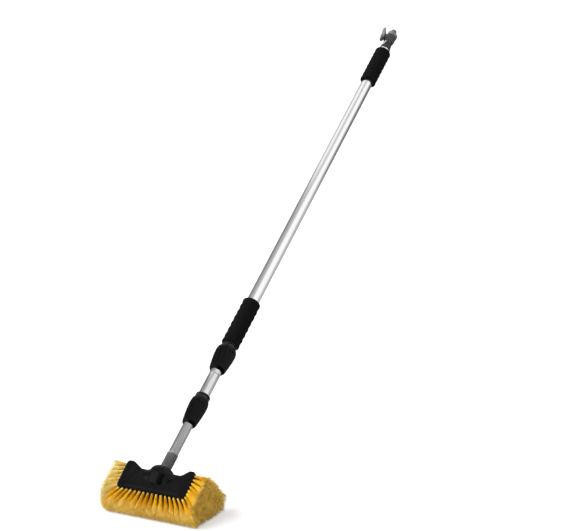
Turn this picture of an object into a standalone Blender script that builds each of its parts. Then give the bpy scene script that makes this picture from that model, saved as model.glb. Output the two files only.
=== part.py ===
"""Extending flow-through wash brush.

A moulded brush block with fanned bristles stands on the floor. A three-stage tube pole is screwed into
its socket and leans back over it. Two twist locks hold the tubes, two foam sleeves are the grips, and a
ball valve with a lever and a hose nipple closes the far end of the pole.

The origin is on the floor, in the middle of the flat bristle tips. +X runs along the block and the pole
leans towards +Y. Pieces of the pole are placed along its axis, measured from the mouth of the socket.
"""

import math
from dataclasses import dataclass

import bmesh
import bpy
from mathutils import Matrix, Vector

MM = 0.001

# Clearances
SEAT_GAP = 0.3 * MM
SLIDE_GAP = 0.08 * MM
BORE_GAP = 0.4 * MM
OVERRUN = 5 * MM
MERGE = 0.002 * MM

# Pose of the head and the pole
SLOPE = math.radians(38.7)
POLE_RISE = math.radians(35)
MOUTH_Y = 8.5 * MM
MOUTH_Z = 76.7 * MM

# Brush block: the side outline runs from the front edge along a slope
BLOCK_LENGTH = 144 * MM
FRONT_REACH = 45 * MM
FRONT_Z = 53.5 * MM
PANEL_REACH = 48.7 * MM
HORN_OVERHANG = 9 * MM
HORN_REACH = PANEL_REACH + HORN_OVERHANG
HORN_DEPTH = 14 * MM
HORN_UNDERCUT = 9 * MM
UNDERSIDE_Z = 45 * MM
LIP_HEIGHT = 4 * MM
CHAMFER_RUN = 6.5 * MM
RIDGE_AT = 16.5 * MM
RIDGE_SINK = 2 * MM
PANEL_SINK = 7 * MM
CHEEK_WIDTH = 11 * MM
CHEEK_RUN = 16 * MM
HORN_WIDTH = 14 * MM
HORN_SLANT = 17 * MM
PLAN_ROUND = 6 * MM
HORN_ROUND = 5 * MM
BLOCK_EDGE = 1.6 * MM
POCKET_EDGE = 4 * MM
POCKET_RISE = 20 * MM

# Hub: a swollen cone turned about the pole's axis, and the low flare round its foot
HUB_MOUTH_RADIUS = 21 * MM
HUB_RADIUS = 24.5 * MM
HUB_LENGTH = 41 * MM
HUB_RIM = 2 * MM
# Shares of the hub's radius and length, down its side
HUB_SIDE_SHARES = ((0.97, 0.16), (1.0, 0.3), (0.97, 0.45), (0.88, 0.64), (0.77, 0.82), (0.7, 0.92), (0.56, 0.98))
FLARE_HALF_WIDTH = 36 * MM
FLARE_HALF_REACH = 21 * MM
FLARE_HEIGHT = 6 * MM
FLARE_AT = 36 * MM

# Socket and water way through the block
THREAD_RADIUS = 9.9 * MM
THREAD_LENGTH = 20 * MM
WASHER_THICKNESS = 1.8 * MM
WATER_RADIUS = 4 * MM
OUTLET_AT = 33 * MM
OUTLET_RADIUS = 3.3 * MM

# Bristles
SLICE_THICKNESS = 1.5 * MM
SLICE_INSET = 2 * MM
STRAND_SIDES = 3
STRANDS_PER_TUFT = 3
STRAND_ROOT_RADIUS = 0.55 * MM
STRAND_TIP_RADIUS = 1.15 * MM
TUFT_ROOT_SPREAD = 1.7 * MM
TUFT_TIP_SPREAD = 3 * MM
FRONT_COLUMNS = 16
FRONT_ROW_SHARES = (0.27, 0.73)
FRONT_TIP_ONE_REACH = 59 * MM
FRONT_TIP_ONE_Z = 25 * MM
FRONT_TIP_TWO_REACH = 47 * MM
BASE_COLUMNS = 13
BASE_ROWS = 5
BASE_ROOT_FRONT = 31 * MM
BASE_ROOT_REAR = 18 * MM
BASE_TIP_REACH = 36 * MM
TIP_FLARE = 22 * MM
END_FAN = 25 * MM
END_COLUMNS = 7
END_ROW_PITCH = 7 * MM
END_ROOT_INSET = 3 * MM
END_TIP_FRONT_LEAD = 15.3 * MM
END_TIP_TOP_BACK = 1.6 * MM
END_TIP_TOP_SINK = 8.4 * MM
END_TIP_REAR_Y = 68 * MM
END_TIP_REAR_Z = 20 * MM
END_TIP_BASE_REACH = 45 * MM
END_TIP_BASE_Z = 4 * MM

# Tubes: each one slides in the next
OUTER_TUBE_RADIUS = 12.5 * MM
TUBE_WALL = 1 * MM
NEST_GAP = 0.5 * MM
CRIMP_DEPTH = 0.25 * MM
CRIMP_LENGTH = 3 * MM

# Lengths that show along the pole, from the mouth of the socket
CONNECTOR_SHOWN = 39 * MM
INNER_SHOWN = 70 * MM
MIDDLE_SHOWN = 62 * MM
GRIP_RING_SHOWN = 3 * MM
FRONT_GRIP_LENGTH = 111 * MM
OUTER_SHOWN = 667 * MM
REAR_GRIP_LENGTH = 103 * MM
TUBE_END_SHOWN = 6 * MM
MIDDLE_CRIMP_SHOWN = 50 * MM
OUTER_CRIMP_COVER = 69 * MM

# Threaded connector between block and inner tube
CONNECTOR_WALL = 1.1 * MM
CONNECTOR_BAND = 0.4 * MM
CONNECTOR_BAND_LENGTH = 5 * MM
CONNECTOR_BORE = 6 * MM
CONNECTOR_SEAT = 12 * MM

# Pistons on the upper ends of the inner and the middle tube
PISTON_HEAD = 16 * MM
PISTON_STEM = 18 * MM
PISTON_SPACING = 6 * MM
PISTON_RUNNING = 0.3 * MM
PISTON_BORE = 5 * MM
RING_SECTION = 0.7 * MM

# Foam grips
GRIP_RADIUS = 18.3 * MM
GRIP_WAVE = 0.6 * MM
GRIP_WAVES = 7
GRIP_WAVE_POINTS = 2
GRIP_END_ROUND = 5 * MM

# Ball valve
PLUG_DEPTH = 20 * MM
PLUG_RING_AT = 9 * MM
VALVE_FLANGE = 3.7 * MM
NECK_LENGTH = 19 * MM
NECK_RADIUS = 10.2 * MM
HOUSING_RADIUS = 12.2 * MM
HOUSING_LENGTH = 23 * MM
HOUSING_FLOOR = 2.5 * MM
HOUSING_EDGE = 1.2 * MM
BALL_RADIUS = 7.6 * MM
BALL_BORE = 4.2 * MM
SEAT_HEIGHT = 4.6 * MM
SEAT_LAND = 1.6 * MM
SEAT_RADIUS = 8.3 * MM
VALVE_BORE = 4.5 * MM
BOSS_RADIUS = 6.5 * MM
BOSS_TOP = 15 * MM
SPINDLE_RADIUS = 3.2 * MM
SPINDLE_SINK = 0.4 * MM
SPINDLE_RING_AT = 11.5 * MM
TANG_WIDTH = 2 * MM
TANG_LENGTH = 4.4 * MM
TANG_DEPTH = 2 * MM
LEVER_TURN = math.radians(225)
LEVER_WIDTH = 12 * MM
LEVER_FOOT = 14 * MM
LEVER_REACH = 25 * MM
LEVER_HUB_THICKNESS = 6 * MM
LEVER_TIP_THICKNESS = 3.6 * MM
LEVER_TIP_RISE = 3 * MM
LEVER_BROW_RISE = 2 * MM
LEVER_EDGE = 1.2 * MM
LEVER_FOOT_LOW_SHARE = 0.8
LEVER_FOOT_FLAT_SHARE = 0.7
LEVER_FOOT_TOP_SHARE = 0.6
LEVER_NECK_SHARE = 0.62
LEVER_BROW_SHARE = 0.5
SCREW_HEAD_RADIUS = 4.4 * MM
SCREW_HEAD_HEIGHT = 1.8 * MM
SCREW_RADIUS = 1.4 * MM
SCREW_LENGTH = 8 * MM

# Hose nipple
NUT_RADIUS = 13.4 * MM
NUT_LENGTH = 11.7 * MM
NUT_SIDES = 12
NUT_EDGE = 1 * MM
NIPPLE_RADIUS = 6.5 * MM
NIPPLE_LENGTH = 10 * MM
NIPPLE_NECK = 1.1 * MM
NIPPLE_RING_AT = 6 * MM

# Facets
TUBE_STEPS = 24
SMALL_STEPS = 20
RING_SIDES = 4
FLUTE_SIDES = 6


@dataclass(frozen=True)
class LockSizes:
    """Sizes of one twist lock. The tube in it and the tube it is fixed on come from the pole."""

    name: str
    collar_length: float
    flange_length: float
    flange_wall: float
    collar_foot_wall: float
    collar_belly_wall: float
    collar_top_wall: float
    flutes: int


LOWER_COLLAR_LENGTH = 59 * MM
LOWER_FLANGE_LENGTH = 12 * MM
LOWER_FLANGE_WALL = 3.6 * MM
LOWER_FOOT_WALL = 3 * MM
LOWER_BELLY_WALL = 7 * MM
LOWER_TOP_WALL = 5.2 * MM
UPPER_COLLAR_LENGTH = 55 * MM
UPPER_FLANGE_LENGTH = 11 * MM
UPPER_FLANGE_WALL = 3.1 * MM
UPPER_FOOT_WALL = 3.3 * MM
UPPER_BELLY_WALL = 8.1 * MM
UPPER_TOP_WALL = 5.5 * MM
COLLAR_FLUTES = 14

LOWER_LOCK = LockSizes(
    "lower_lock",
    LOWER_COLLAR_LENGTH,
    LOWER_FLANGE_LENGTH,
    LOWER_FLANGE_WALL,
    LOWER_FOOT_WALL,
    LOWER_BELLY_WALL,
    LOWER_TOP_WALL,
    COLLAR_FLUTES,
)
UPPER_LOCK = LockSizes(
    "upper_lock",
    UPPER_COLLAR_LENGTH,
    UPPER_FLANGE_LENGTH,
    UPPER_FLANGE_WALL,
    UPPER_FOOT_WALL,
    UPPER_BELLY_WALL,
    UPPER_TOP_WALL,
    COLLAR_FLUTES,
)

# Sizes that both twist locks share
LOCK_SPIGOT_WALL = 2 * MM
LOCK_CAVITY_FOOT = 3.5 * MM
LOCK_COLLET_LENGTH = 15 * MM
LOCK_COLLET_WALL = 2.3 * MM
LOCK_COLLET_TIP_WALL = 0.9 * MM
LOCK_COLLET_SLOT = 2 * MM
LOCK_CONE_LENGTH = 7 * MM
LOCK_TUBE_DEPTH = 18 * MM
FLANGE_GROOVE = 0.7 * MM
FLUTE_RADIUS = 2.6 * MM
FLUTE_DEPTH = 0.9 * MM
FLUTE_END_SHARE = 0.8
FLUTE_START_SHARE = 0.12
# Share of the way from the top's wall to the belly's, or from the foot's to it, and share of the length
COLLAR_SHOULDER_SHARES = ((0.0, 1.0), (0.8, 0.96), (1.0, 0.86), (1.0, 0.74))
COLLAR_TAPER_SHARES = ((0.66, 0.36), (0.4, 0.16), (0.24, 0.05), (0.0, 0.0))

# Radii of the nested tubes
MIDDLE_TUBE_RADIUS = OUTER_TUBE_RADIUS - TUBE_WALL - NEST_GAP
INNER_TUBE_RADIUS = MIDDLE_TUBE_RADIUS - TUBE_WALL - NEST_GAP

# Stations along the pole's axis
LOWER_LOCK_AT = CONNECTOR_SHOWN + INNER_SHOWN
LOWER_LOCK_END = LOWER_LOCK_AT + LOWER_LOCK.collar_length + LOWER_LOCK.flange_length
UPPER_LOCK_AT = LOWER_LOCK_END + MIDDLE_SHOWN
UPPER_LOCK_END = UPPER_LOCK_AT + UPPER_LOCK.collar_length + UPPER_LOCK.flange_length
FRONT_GRIP_AT = UPPER_LOCK_END + GRIP_RING_SHOWN
REAR_GRIP_AT = FRONT_GRIP_AT + FRONT_GRIP_LENGTH + OUTER_SHOWN
OUTER_TUBE_END = REAR_GRIP_AT + REAR_GRIP_LENGTH + TUBE_END_SHOWN
PLUG_END = OUTER_TUBE_END - PLUG_DEPTH
MIDDLE_TUBE_END = PLUG_END - 2 * PISTON_SPACING - PISTON_HEAD - SEAT_GAP
INNER_TUBE_END = MIDDLE_TUBE_END - PISTON_STEM - PISTON_SPACING - PISTON_HEAD - SEAT_GAP
MIDDLE_CRIMP_AT = LOWER_LOCK_END + MIDDLE_CRIMP_SHOWN
OUTER_CRIMP_AT = FRONT_GRIP_AT + OUTER_CRIMP_COVER
HOUSING_AT = OUTER_TUBE_END + SEAT_GAP + VALVE_FLANGE + NECK_LENGTH
HOUSING_END = HOUSING_AT + HOUSING_LENGTH
BALL_AT = HOUSING_AT + HOUSING_FLOOR + SEAT_GAP + SEAT_LAND + BALL_RADIUS
LEVER_BOTTOM = BOSS_TOP + SEAT_GAP
LEVER_TOP = LEVER_BOTTOM + LEVER_HUB_THICKNESS
SPINDLE_TOP = LEVER_TOP - SPINDLE_SINK


def clear_scene():
    """Removes every object that the file holds."""
    for item in list(bpy.data.objects):
        bpy.data.objects.remove(item)


def new_collection(name):
    """Makes a collection under the scene's own."""
    collection = bpy.data.collections.new(name)
    bpy.context.scene.collection.children.link(collection)
    return collection


def finish(name, colour, roughness, metallic=0.0):
    """Makes a plain material."""
    made = bpy.data.materials.new(name)
    made.use_nodes = True
    shader = made.node_tree.nodes["Principled BSDF"]
    shader.inputs["Base Color"].default_value = (*colour, 1.0)
    shader.inputs["Roughness"].default_value = roughness
    shader.inputs["Metallic"].default_value = metallic
    made.diffuse_color = (*colour, 1.0)
    return made


def put(item, collection, parent=None, material=None):
    """Links an object, hangs it under its parent and gives it its finish."""
    collection.objects.link(item)
    item.parent = parent
    if material is not None:
        item.data.materials.append(material)
    return item


def as_cutter(item):
    """Marks an object as a helper that shapes others and isn't a piece itself."""
    item.hide_render = True
    item.display_type = "WIRE"
    return item


def boolean(item, other, operation, solver="EXACT"):
    """Adds a Boolean modifier. The other solver is for curved shapes whose edges meet."""
    modifier = item.modifiers.new(operation.title(), "BOOLEAN")
    modifier.operation = operation
    modifier.solver = solver
    modifier.object = other


def smooth(mesh, degrees=40):
    """Shades a mesh smooth, apart from its sharp edges."""
    mesh.shade_smooth()
    mesh.set_sharp_from_angle(angle=math.radians(degrees))


def profile_mesh(name, points, closed):
    """Makes the line of edges that a Screw modifier turns, in the XZ plane."""
    shape = bmesh.new()
    verts = [shape.verts.new((radius, 0, height)) for radius, height in points]
    for first, second in zip(verts, verts[1:]):
        shape.edges.new((first, second))
    if closed:
        shape.edges.new((verts[-1], verts[0]))
    mesh = bpy.data.meshes.new(name)
    shape.to_mesh(mesh)
    shape.free()
    return mesh


def turned(name, points, closed, steps):
    """Makes a turned solid. The points are (radius, height), down the outer side and up the inner one."""
    item = bpy.data.objects.new(name, profile_mesh(name, points, closed))
    screw = item.modifiers.new("Turn", "SCREW")
    screw.steps = steps
    screw.render_steps = steps
    screw.use_merge_vertices = True
    screw.merge_threshold = MERGE
    screw.use_smooth_shade = True
    return item


def sleeve(name, outer, inner, steps):
    """Makes a hollow turned solid from its outer side, top to bottom, and its inner side, bottom to top."""
    return turned(name, outer + inner, True, steps)


def arc(centre_x, centre_z, radius, start, end, count):
    """Gives points on an arc, with the angles in degrees from +X towards +Z."""
    angles = [math.radians(start + (end - start) * step / count) for step in range(count + 1)]
    return [(centre_x + radius * math.cos(a), centre_z + radius * math.sin(a)) for a in angles]


def baked(item):
    """Gives a welded copy of an object's evaluated mesh."""
    bpy.context.view_layer.update()
    mesh = bpy.data.meshes.new_from_object(item.evaluated_get(bpy.context.evaluated_depsgraph_get()))
    shape = bmesh.new()
    shape.from_mesh(mesh)
    bmesh.ops.remove_doubles(shape, verts=shape.verts, dist=MERGE)
    bmesh.ops.recalc_face_normals(shape, faces=shape.faces)
    shape.to_mesh(mesh)
    shape.free()
    return mesh


def outline_mesh(name, points, half_thickness):
    """Makes a flat outline solid: the outline lies in XY, and the thickness runs along Z."""
    curve = bpy.data.curves.new(name, "CURVE")
    curve.dimensions = "2D"
    curve.fill_mode = "BOTH"
    curve.extrude = half_thickness
    spline = curve.splines.new("POLY")
    spline.points.add(len(points) - 1)
    for point, (x, y) in zip(spline.points, points):
        point.co = (x, y, 0, 1)
    spline.use_cyclic_u = True
    guide = bpy.data.objects.new(name, curve)
    bpy.context.scene.collection.objects.link(guide)
    mesh = baked(guide)
    bpy.data.objects.remove(guide)
    bpy.data.curves.remove(curve)
    mesh.name = name
    return mesh


def slab_point(reach, height):
    """Turns a place along and above the block's slope into world Y and Z."""
    y = -FRONT_REACH + reach * math.cos(SLOPE) - height * math.sin(SLOPE)
    z = FRONT_Z + reach * math.sin(SLOPE) + height * math.cos(SLOPE)
    return y, z


def slab_frame():
    """The frame of the block's sloped top: X along the block, Y up the slope, Z out of it."""
    return Matrix.Translation((0, -FRONT_REACH, FRONT_Z)) @ Matrix.Rotation(SLOPE, 4, "X")


def side_frame():
    """The frame that stands an outline drawn in XY up in the world's YZ plane."""
    return Matrix.Rotation(math.pi / 2, 4, "Z") @ Matrix.Rotation(math.pi / 2, 4, "X")


def pole_point(along, aside=0):
    """World Y and Z of a place on the pole's axis, and so far above it."""
    y = MOUTH_Y + along * math.cos(POLE_RISE) - aside * math.sin(POLE_RISE)
    z = MOUTH_Z + along * math.sin(POLE_RISE) + aside * math.cos(POLE_RISE)
    return y, z


def lerp(first, second, share):
    """Gives the point at a share of the way between two points."""
    return tuple(a + (b - a) * share for a, b in zip(first, second))


# Brush block


def block_side_outline():
    """The block seen from its end, in world Y and Z. Front, back and ends come from the plan outline."""
    rear_y, rear_z = slab_point(HORN_REACH + OVERRUN, 0)
    bottom = UNDERSIDE_Z - OVERRUN
    lip = lip_point()
    return [
        slab_point(-OVERRUN, 0),
        slab_point(-OVERRUN, -LIP_HEIGHT),
        lip,
        lerp(lip, chamfer_point(), (lip[1] - bottom) / (lip[1] - UNDERSIDE_Z)),
        (rear_y + (rear_z - bottom) * math.tan(SLOPE), bottom),
        (rear_y, rear_z),
    ]


def lip_point():
    """Lower edge of the narrow lip along the front of the block."""
    return slab_point(0, -LIP_HEIGHT)


def chamfer_point():
    """Front edge of the flat underside. The front tufts stand on the chamfer between it and the lip."""
    return lip_point()[0] + CHAMFER_RUN, UNDERSIDE_Z


def block_plan_outline():
    """The block seen square to its slope, with round corners and two horns at the back."""
    half = BLOCK_LENGTH / 2
    corner = arc(half - PLAN_ROUND, PLAN_ROUND, PLAN_ROUND, -90, 0, 4)
    horn = arc(half - HORN_ROUND, HORN_REACH - HORN_ROUND, HORN_ROUND, 0, 90, 4)
    inner = half - HORN_WIDTH
    right = corner + horn + [(inner, HORN_REACH), (inner - HORN_SLANT, PANEL_REACH)]
    return right + [(-x, y) for x, y in reversed(right)]


def make_block_plan(cutters):
    """Cutter that the block is common with: its plan outline, drawn out along the slope's normal."""
    mesh = outline_mesh("block_plan", block_plan_outline(), 2 * HORN_REACH)
    item = put(bpy.data.objects.new("block_plan", mesh), cutters)
    item.matrix_world = slab_frame()
    return as_cutter(item)


def make_pocket(cutters):
    """Cutter of the sunk panel between the cheeks, whose sides slope in towards its floor."""
    floor_end = HORN_REACH + 2 * OVERRUN
    floor_sink = RIDGE_SINK + (PANEL_SINK - RIDGE_SINK) * (floor_end - RIDGE_AT) / (PANEL_REACH - RIDGE_AT)
    rise = POCKET_RISE
    points = [(BLOCK_EDGE, 0), (RIDGE_AT, -RIDGE_SINK), (floor_end, -floor_sink)]
    points += [(floor_end, rise), (BLOCK_EDGE, rise)]
    half = BLOCK_LENGTH / 2 - CHEEK_WIDTH
    mesh = outline_mesh("pocket", points, half)
    for vert in mesh.vertices:
        side = math.copysign(1, vert.co.z)
        vert.co.z = side * (half + vert.co.y * CHEEK_RUN / PANEL_SINK)
    item = put(bpy.data.objects.new("pocket", mesh), cutters)
    item.matrix_world = slab_frame() @ side_frame()
    bevel = item.modifiers.new("Fillet", "BEVEL")
    bevel.width = POCKET_EDGE
    bevel.segments = 2
    bevel.limit_method = "ANGLE"
    bevel.angle_limit = math.radians(12)
    return as_cutter(item)


def make_undercut(cutters):
    """Cutter that leaves the horns hanging over behind the panel."""
    wall = PANEL_REACH + BLOCK_EDGE
    deep = BLOCK_LENGTH
    points = [
        (wall, -deep),
        (HORN_REACH + OVERRUN, -deep),
        (HORN_REACH + OVERRUN, -HORN_DEPTH),
        (HORN_REACH, -HORN_DEPTH),
        (wall, -HORN_DEPTH - HORN_UNDERCUT),
    ]
    mesh = outline_mesh("undercut", points, BLOCK_LENGTH)
    item = put(bpy.data.objects.new("undercut", mesh), cutters)
    item.matrix_world = slab_frame() @ side_frame()
    return as_cutter(item)


def hub_outline():
    """Radius and height of the hub's outer side: a rim, a slow swell and a taper down into the block."""
    rim = [(HUB_MOUTH_RADIUS - HUB_RIM, 0), (HUB_MOUTH_RADIUS, -HUB_RIM)]
    side = [(HUB_RADIUS * wide, -HUB_LENGTH * deep) for wide, deep in HUB_SIDE_SHARES]
    return [(0, 0)] + rim + side + [(0, -HUB_LENGTH)]


def make_hub(cutters, pole):
    """The hub round the socket, turned about the pole's axis."""
    return as_cutter(put(turned("hub", hub_outline(), False, TUBE_STEPS), cutters, pole))


def make_flare(cutters):
    """The low swelling that spreads from the hub's foot over the panel."""
    shape = bmesh.new()
    bmesh.ops.create_uvsphere(shape, u_segments=SMALL_STEPS, v_segments=10, radius=1)
    stretch = (FLARE_HALF_WIDTH, FLARE_HALF_REACH, PANEL_SINK + FLARE_HEIGHT)
    bmesh.ops.scale(shape, vec=stretch, verts=shape.verts)
    mesh = bpy.data.meshes.new("flare")
    shape.to_mesh(mesh)
    shape.free()
    item = put(bpy.data.objects.new("flare", mesh), cutters)
    item.matrix_world = slab_frame() @ Matrix.Translation((0, FLARE_AT, -PANEL_SINK - FLARE_HEIGHT / 2))
    return as_cutter(item)


def make_underside(cutters):
    """Cutter of everything below the flat underside."""
    shape = bmesh.new()
    bmesh.ops.create_cube(shape, size=1)
    bmesh.ops.scale(shape, vec=(BLOCK_LENGTH + OVERRUN, BLOCK_LENGTH, UNDERSIDE_Z), verts=shape.verts)
    mesh = bpy.data.meshes.new("underside")
    shape.to_mesh(mesh)
    shape.free()
    item = put(bpy.data.objects.new("underside", mesh), cutters)
    item.location = (0, 0, UNDERSIDE_Z / 2)
    return as_cutter(item)


def socket_depth():
    """Depth of the wide part of the socket, for the thread and the washer under it."""
    return THREAD_LENGTH + WASHER_THICKNESS + 2 * SEAT_GAP


def make_socket(cutters, pole):
    """Cutter of the socket: a wide bore for the thread and a narrow one for the water."""
    wide = THREAD_RADIUS + SEAT_GAP
    depth = socket_depth()
    points = [(0, OVERRUN), (wide, OVERRUN), (wide, -depth), (WATER_RADIUS, -depth)]
    points += [(WATER_RADIUS, -OUTLET_AT - WATER_RADIUS), (0, -OUTLET_AT - WATER_RADIUS)]
    return as_cutter(put(turned("socket", points, False, SMALL_STEPS), cutters, pole))


def make_outlet(name, cutters, radius):
    """Cutter of the upright hole that lets the water out among the bristles."""
    y, z = pole_point(-OUTLET_AT)
    points = [(0, z), (radius, z), (radius, 0), (0, 0)]
    item = put(turned(name, points, False, SMALL_STEPS), cutters)
    item.location = (0, y, 0)
    return as_cutter(item)


def make_block(parts, cutters, pole, material):
    """The moulded block: side outline, plan outline, sunk panel, hub, socket and water way."""
    mesh = outline_mesh("brush_block", block_side_outline(), BLOCK_LENGTH / 2 + OVERRUN)
    mesh.transform(side_frame())
    smooth(mesh)
    item = put(bpy.data.objects.new("brush_block", mesh), parts, None, material)
    boolean(item, make_pocket(cutters), "DIFFERENCE")
    boolean(item, make_flare(cutters), "UNION")
    boolean(item, make_block_plan(cutters), "INTERSECT")
    bevel = item.modifiers.new("Edges", "BEVEL")
    bevel.width = BLOCK_EDGE
    bevel.segments = 2
    bevel.limit_method = "ANGLE"
    bevel.angle_limit = math.radians(35)
    boolean(item, make_undercut(cutters), "DIFFERENCE")
    boolean(item, make_hub(cutters, pole), "UNION", "MANIFOLD")
    boolean(item, make_underside(cutters), "DIFFERENCE", "MANIFOLD")
    boolean(item, make_socket(cutters, pole), "DIFFERENCE", "MANIFOLD")
    boolean(item, make_outlet("outlet", cutters, OUTLET_RADIUS), "DIFFERENCE", "MANIFOLD")
    return item


# Bristles


def add_strand(shape, root, tip, flat=False):
    """Adds one strand, a thin three-sided cone from root to tip. A flat one ends level on the floor."""
    axis = tip - root
    turn = axis.to_track_quat("Z", "X").to_matrix().to_4x4()
    made = bmesh.ops.create_cone(
        shape,
        cap_ends=True,
        segments=STRAND_SIDES,
        radius1=STRAND_ROOT_RADIUS,
        radius2=STRAND_TIP_RADIUS,
        depth=axis.length,
        matrix=Matrix.Translation((root + tip) / 2) @ turn,
    )
    if not flat:
        return
    for vert in made["verts"]:
        if (vert.co - tip).length < (vert.co - root).length:
            vert.co -= axis * (vert.co.z / axis.z)


def tuft_offsets(spread):
    """Places of a tuft's strands round its middle, in the tuft's own plane."""
    angles = [math.radians(360 * index / STRANDS_PER_TUFT - 90) for index in range(STRANDS_PER_TUFT)]
    return [(spread * math.cos(angle), spread * math.sin(angle)) for angle in angles]


def strands_object(name, shape, cutters):
    """Makes an object of loose strands, ready to be fused to a slice."""
    mesh = bpy.data.meshes.new(name)
    shape.to_mesh(mesh)
    shape.free()
    return as_cutter(put(bpy.data.objects.new(name, mesh), cutters))


def make_base_bristles(parts, cutters, material):
    """The tufts under the block: rows that fan a little and end flat on the floor."""
    top = UNDERSIDE_Z - SEAT_GAP
    root_z = top - SLICE_THICKNESS / 2
    front = chamfer_point()[0] + SLICE_INSET
    rear = BASE_ROOT_REAR + SLICE_INSET + TUFT_ROOT_SPREAD
    half = BLOCK_LENGTH / 2 - SLICE_INSET
    points = [(-half, front), (half, front), (half, rear), (-half, rear)]
    mesh = outline_mesh("base_bristles", points, SLICE_THICKNESS / 2)
    mesh.transform(Matrix.Translation((0, 0, root_z)))
    item = put(bpy.data.objects.new("base_bristles", mesh), parts, None, material)
    outlet_y = pole_point(-OUTLET_AT)[0]
    shape = bmesh.new()
    root_half = half - SLICE_INSET - TUFT_ROOT_SPREAD
    tip_half = root_half + TIP_FLARE
    for column in range(BASE_COLUMNS):
        across = 2 * column / (BASE_COLUMNS - 1) - 1
        for row in range(BASE_ROWS):
            along = row / (BASE_ROWS - 1)
            root_y = (BASE_ROOT_REAR + BASE_ROOT_FRONT) * along - BASE_ROOT_FRONT
            tip_y = BASE_TIP_REACH * (2 * along - 1) + TUFT_TIP_SPREAD
            if math.hypot(root_half * across, root_y - outlet_y) < 2 * WATER_RADIUS:
                continue
            for near, far in zip(tuft_offsets(TUFT_ROOT_SPREAD), tuft_offsets(TUFT_TIP_SPREAD)):
                root = Vector((root_half * across + near[0], root_y + near[1], root_z))
                tip = Vector((tip_half * across + far[0], tip_y + far[1], 0))
                add_strand(shape, root, tip, flat=True)
    boolean(item, strands_object("base_strands", shape, cutters), "UNION")
    boolean(item, make_outlet("slice_outlet", cutters, OUTLET_RADIUS), "DIFFERENCE")
    return item


def make_front_bristles(parts, cutters, material):
    """The tufts along the front edge, which fan forwards. The last row ends on the floor."""
    lip = Vector((0, *lip_point()))
    foot = Vector((0, *chamfer_point()))
    run = foot - lip
    outward = Vector((0, run.z, -run.y)).normalized()
    middle = SEAT_GAP + SLICE_THICKNESS / 2
    half = BLOCK_LENGTH / 2 - SLICE_INSET - PLAN_ROUND / 2
    deep = run.length - SEAT_GAP
    points = [(-half, SEAT_GAP), (half, SEAT_GAP), (half, deep), (-half, deep)]
    mesh = outline_mesh("front_bristles", points, SLICE_THICKNESS / 2)
    turn = Matrix.Rotation(math.atan2(run.z, run.y), 4, "X")
    mesh.transform(Matrix.Translation(lip + outward * middle) @ turn)
    item = put(bpy.data.objects.new("front_bristles", mesh), parts, None, material)
    shape = bmesh.new()
    root_half = half - TUFT_ROOT_SPREAD - STRAND_ROOT_RADIUS
    tip_half = root_half + TIP_FLARE
    tips = ((-FRONT_TIP_ONE_REACH, FRONT_TIP_ONE_Z), (-FRONT_TIP_TWO_REACH, 0))
    for column in range(FRONT_COLUMNS):
        across = 2 * column / (FRONT_COLUMNS - 1) - 1
        for share, (tip_y, tip_z) in zip(FRONT_ROW_SHARES, tips):
            for near, far in zip(tuft_offsets(TUFT_ROOT_SPREAD), tuft_offsets(TUFT_TIP_SPREAD)):
                root = lip + outward * middle + run * (share + near[1] / run.length)
                root.x = root_half * across + near[0]
                tip = Vector((tip_half * across + far[0], tip_y + far[1], tip_z))
                add_strand(shape, root, tip, flat=tip_z == 0)
    boolean(item, strands_object("front_strands", shape, cutters), "UNION")
    return item


def end_root(top_share, depth_share):
    """Place of an end tuft's root in world Y and Z: its share along the slope and its share down."""
    inset = END_ROOT_INSET + TUFT_ROOT_SPREAD
    front_top = slab_point(inset, -inset)
    rear_top = slab_point(HORN_REACH - 2 * inset, -inset)
    rear_low = slab_point(PANEL_REACH - inset, 0)[0]
    rear_low_z = UNDERSIDE_Z + 2 * inset
    fall = slab_point(PANEL_REACH - inset, 0)[1] - rear_low_z
    low_rear = (rear_low + fall * math.tan(SLOPE), rear_low_z)
    low_front = (chamfer_point()[0] + inset, UNDERSIDE_Z + inset)
    return lerp(lerp(front_top, rear_top, top_share), lerp(low_front, low_rear, top_share), depth_share)


def end_tip(top_share, depth_share):
    """Place of an end tuft's tip in world Y and Z, on the fanned end of the brush."""
    front = slab_point(-END_TIP_FRONT_LEAD, 0)
    top = lerp(front, slab_point(HORN_REACH - END_TIP_TOP_BACK, -END_TIP_TOP_SINK), top_share)
    low = lerp((-END_TIP_BASE_REACH, END_TIP_BASE_Z), (END_TIP_REAR_Y, END_TIP_REAR_Z), top_share)
    return lerp(top, low, depth_share)


def end_slice_outline():
    """Outline of the slice that carries an end's tufts, inside the block's own end."""
    inset = TUFT_ROOT_SPREAD + STRAND_ROOT_RADIUS + SEAT_GAP
    corners = [Vector(end_root(*share)) for share in ((0, 0), (0, 1), (1, 1), (1, 0))]
    centre = sum(corners, Vector((0, 0))) / len(corners)
    return [tuple(corner + (corner - centre).normalized() * 2 * inset) for corner in corners]


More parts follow.
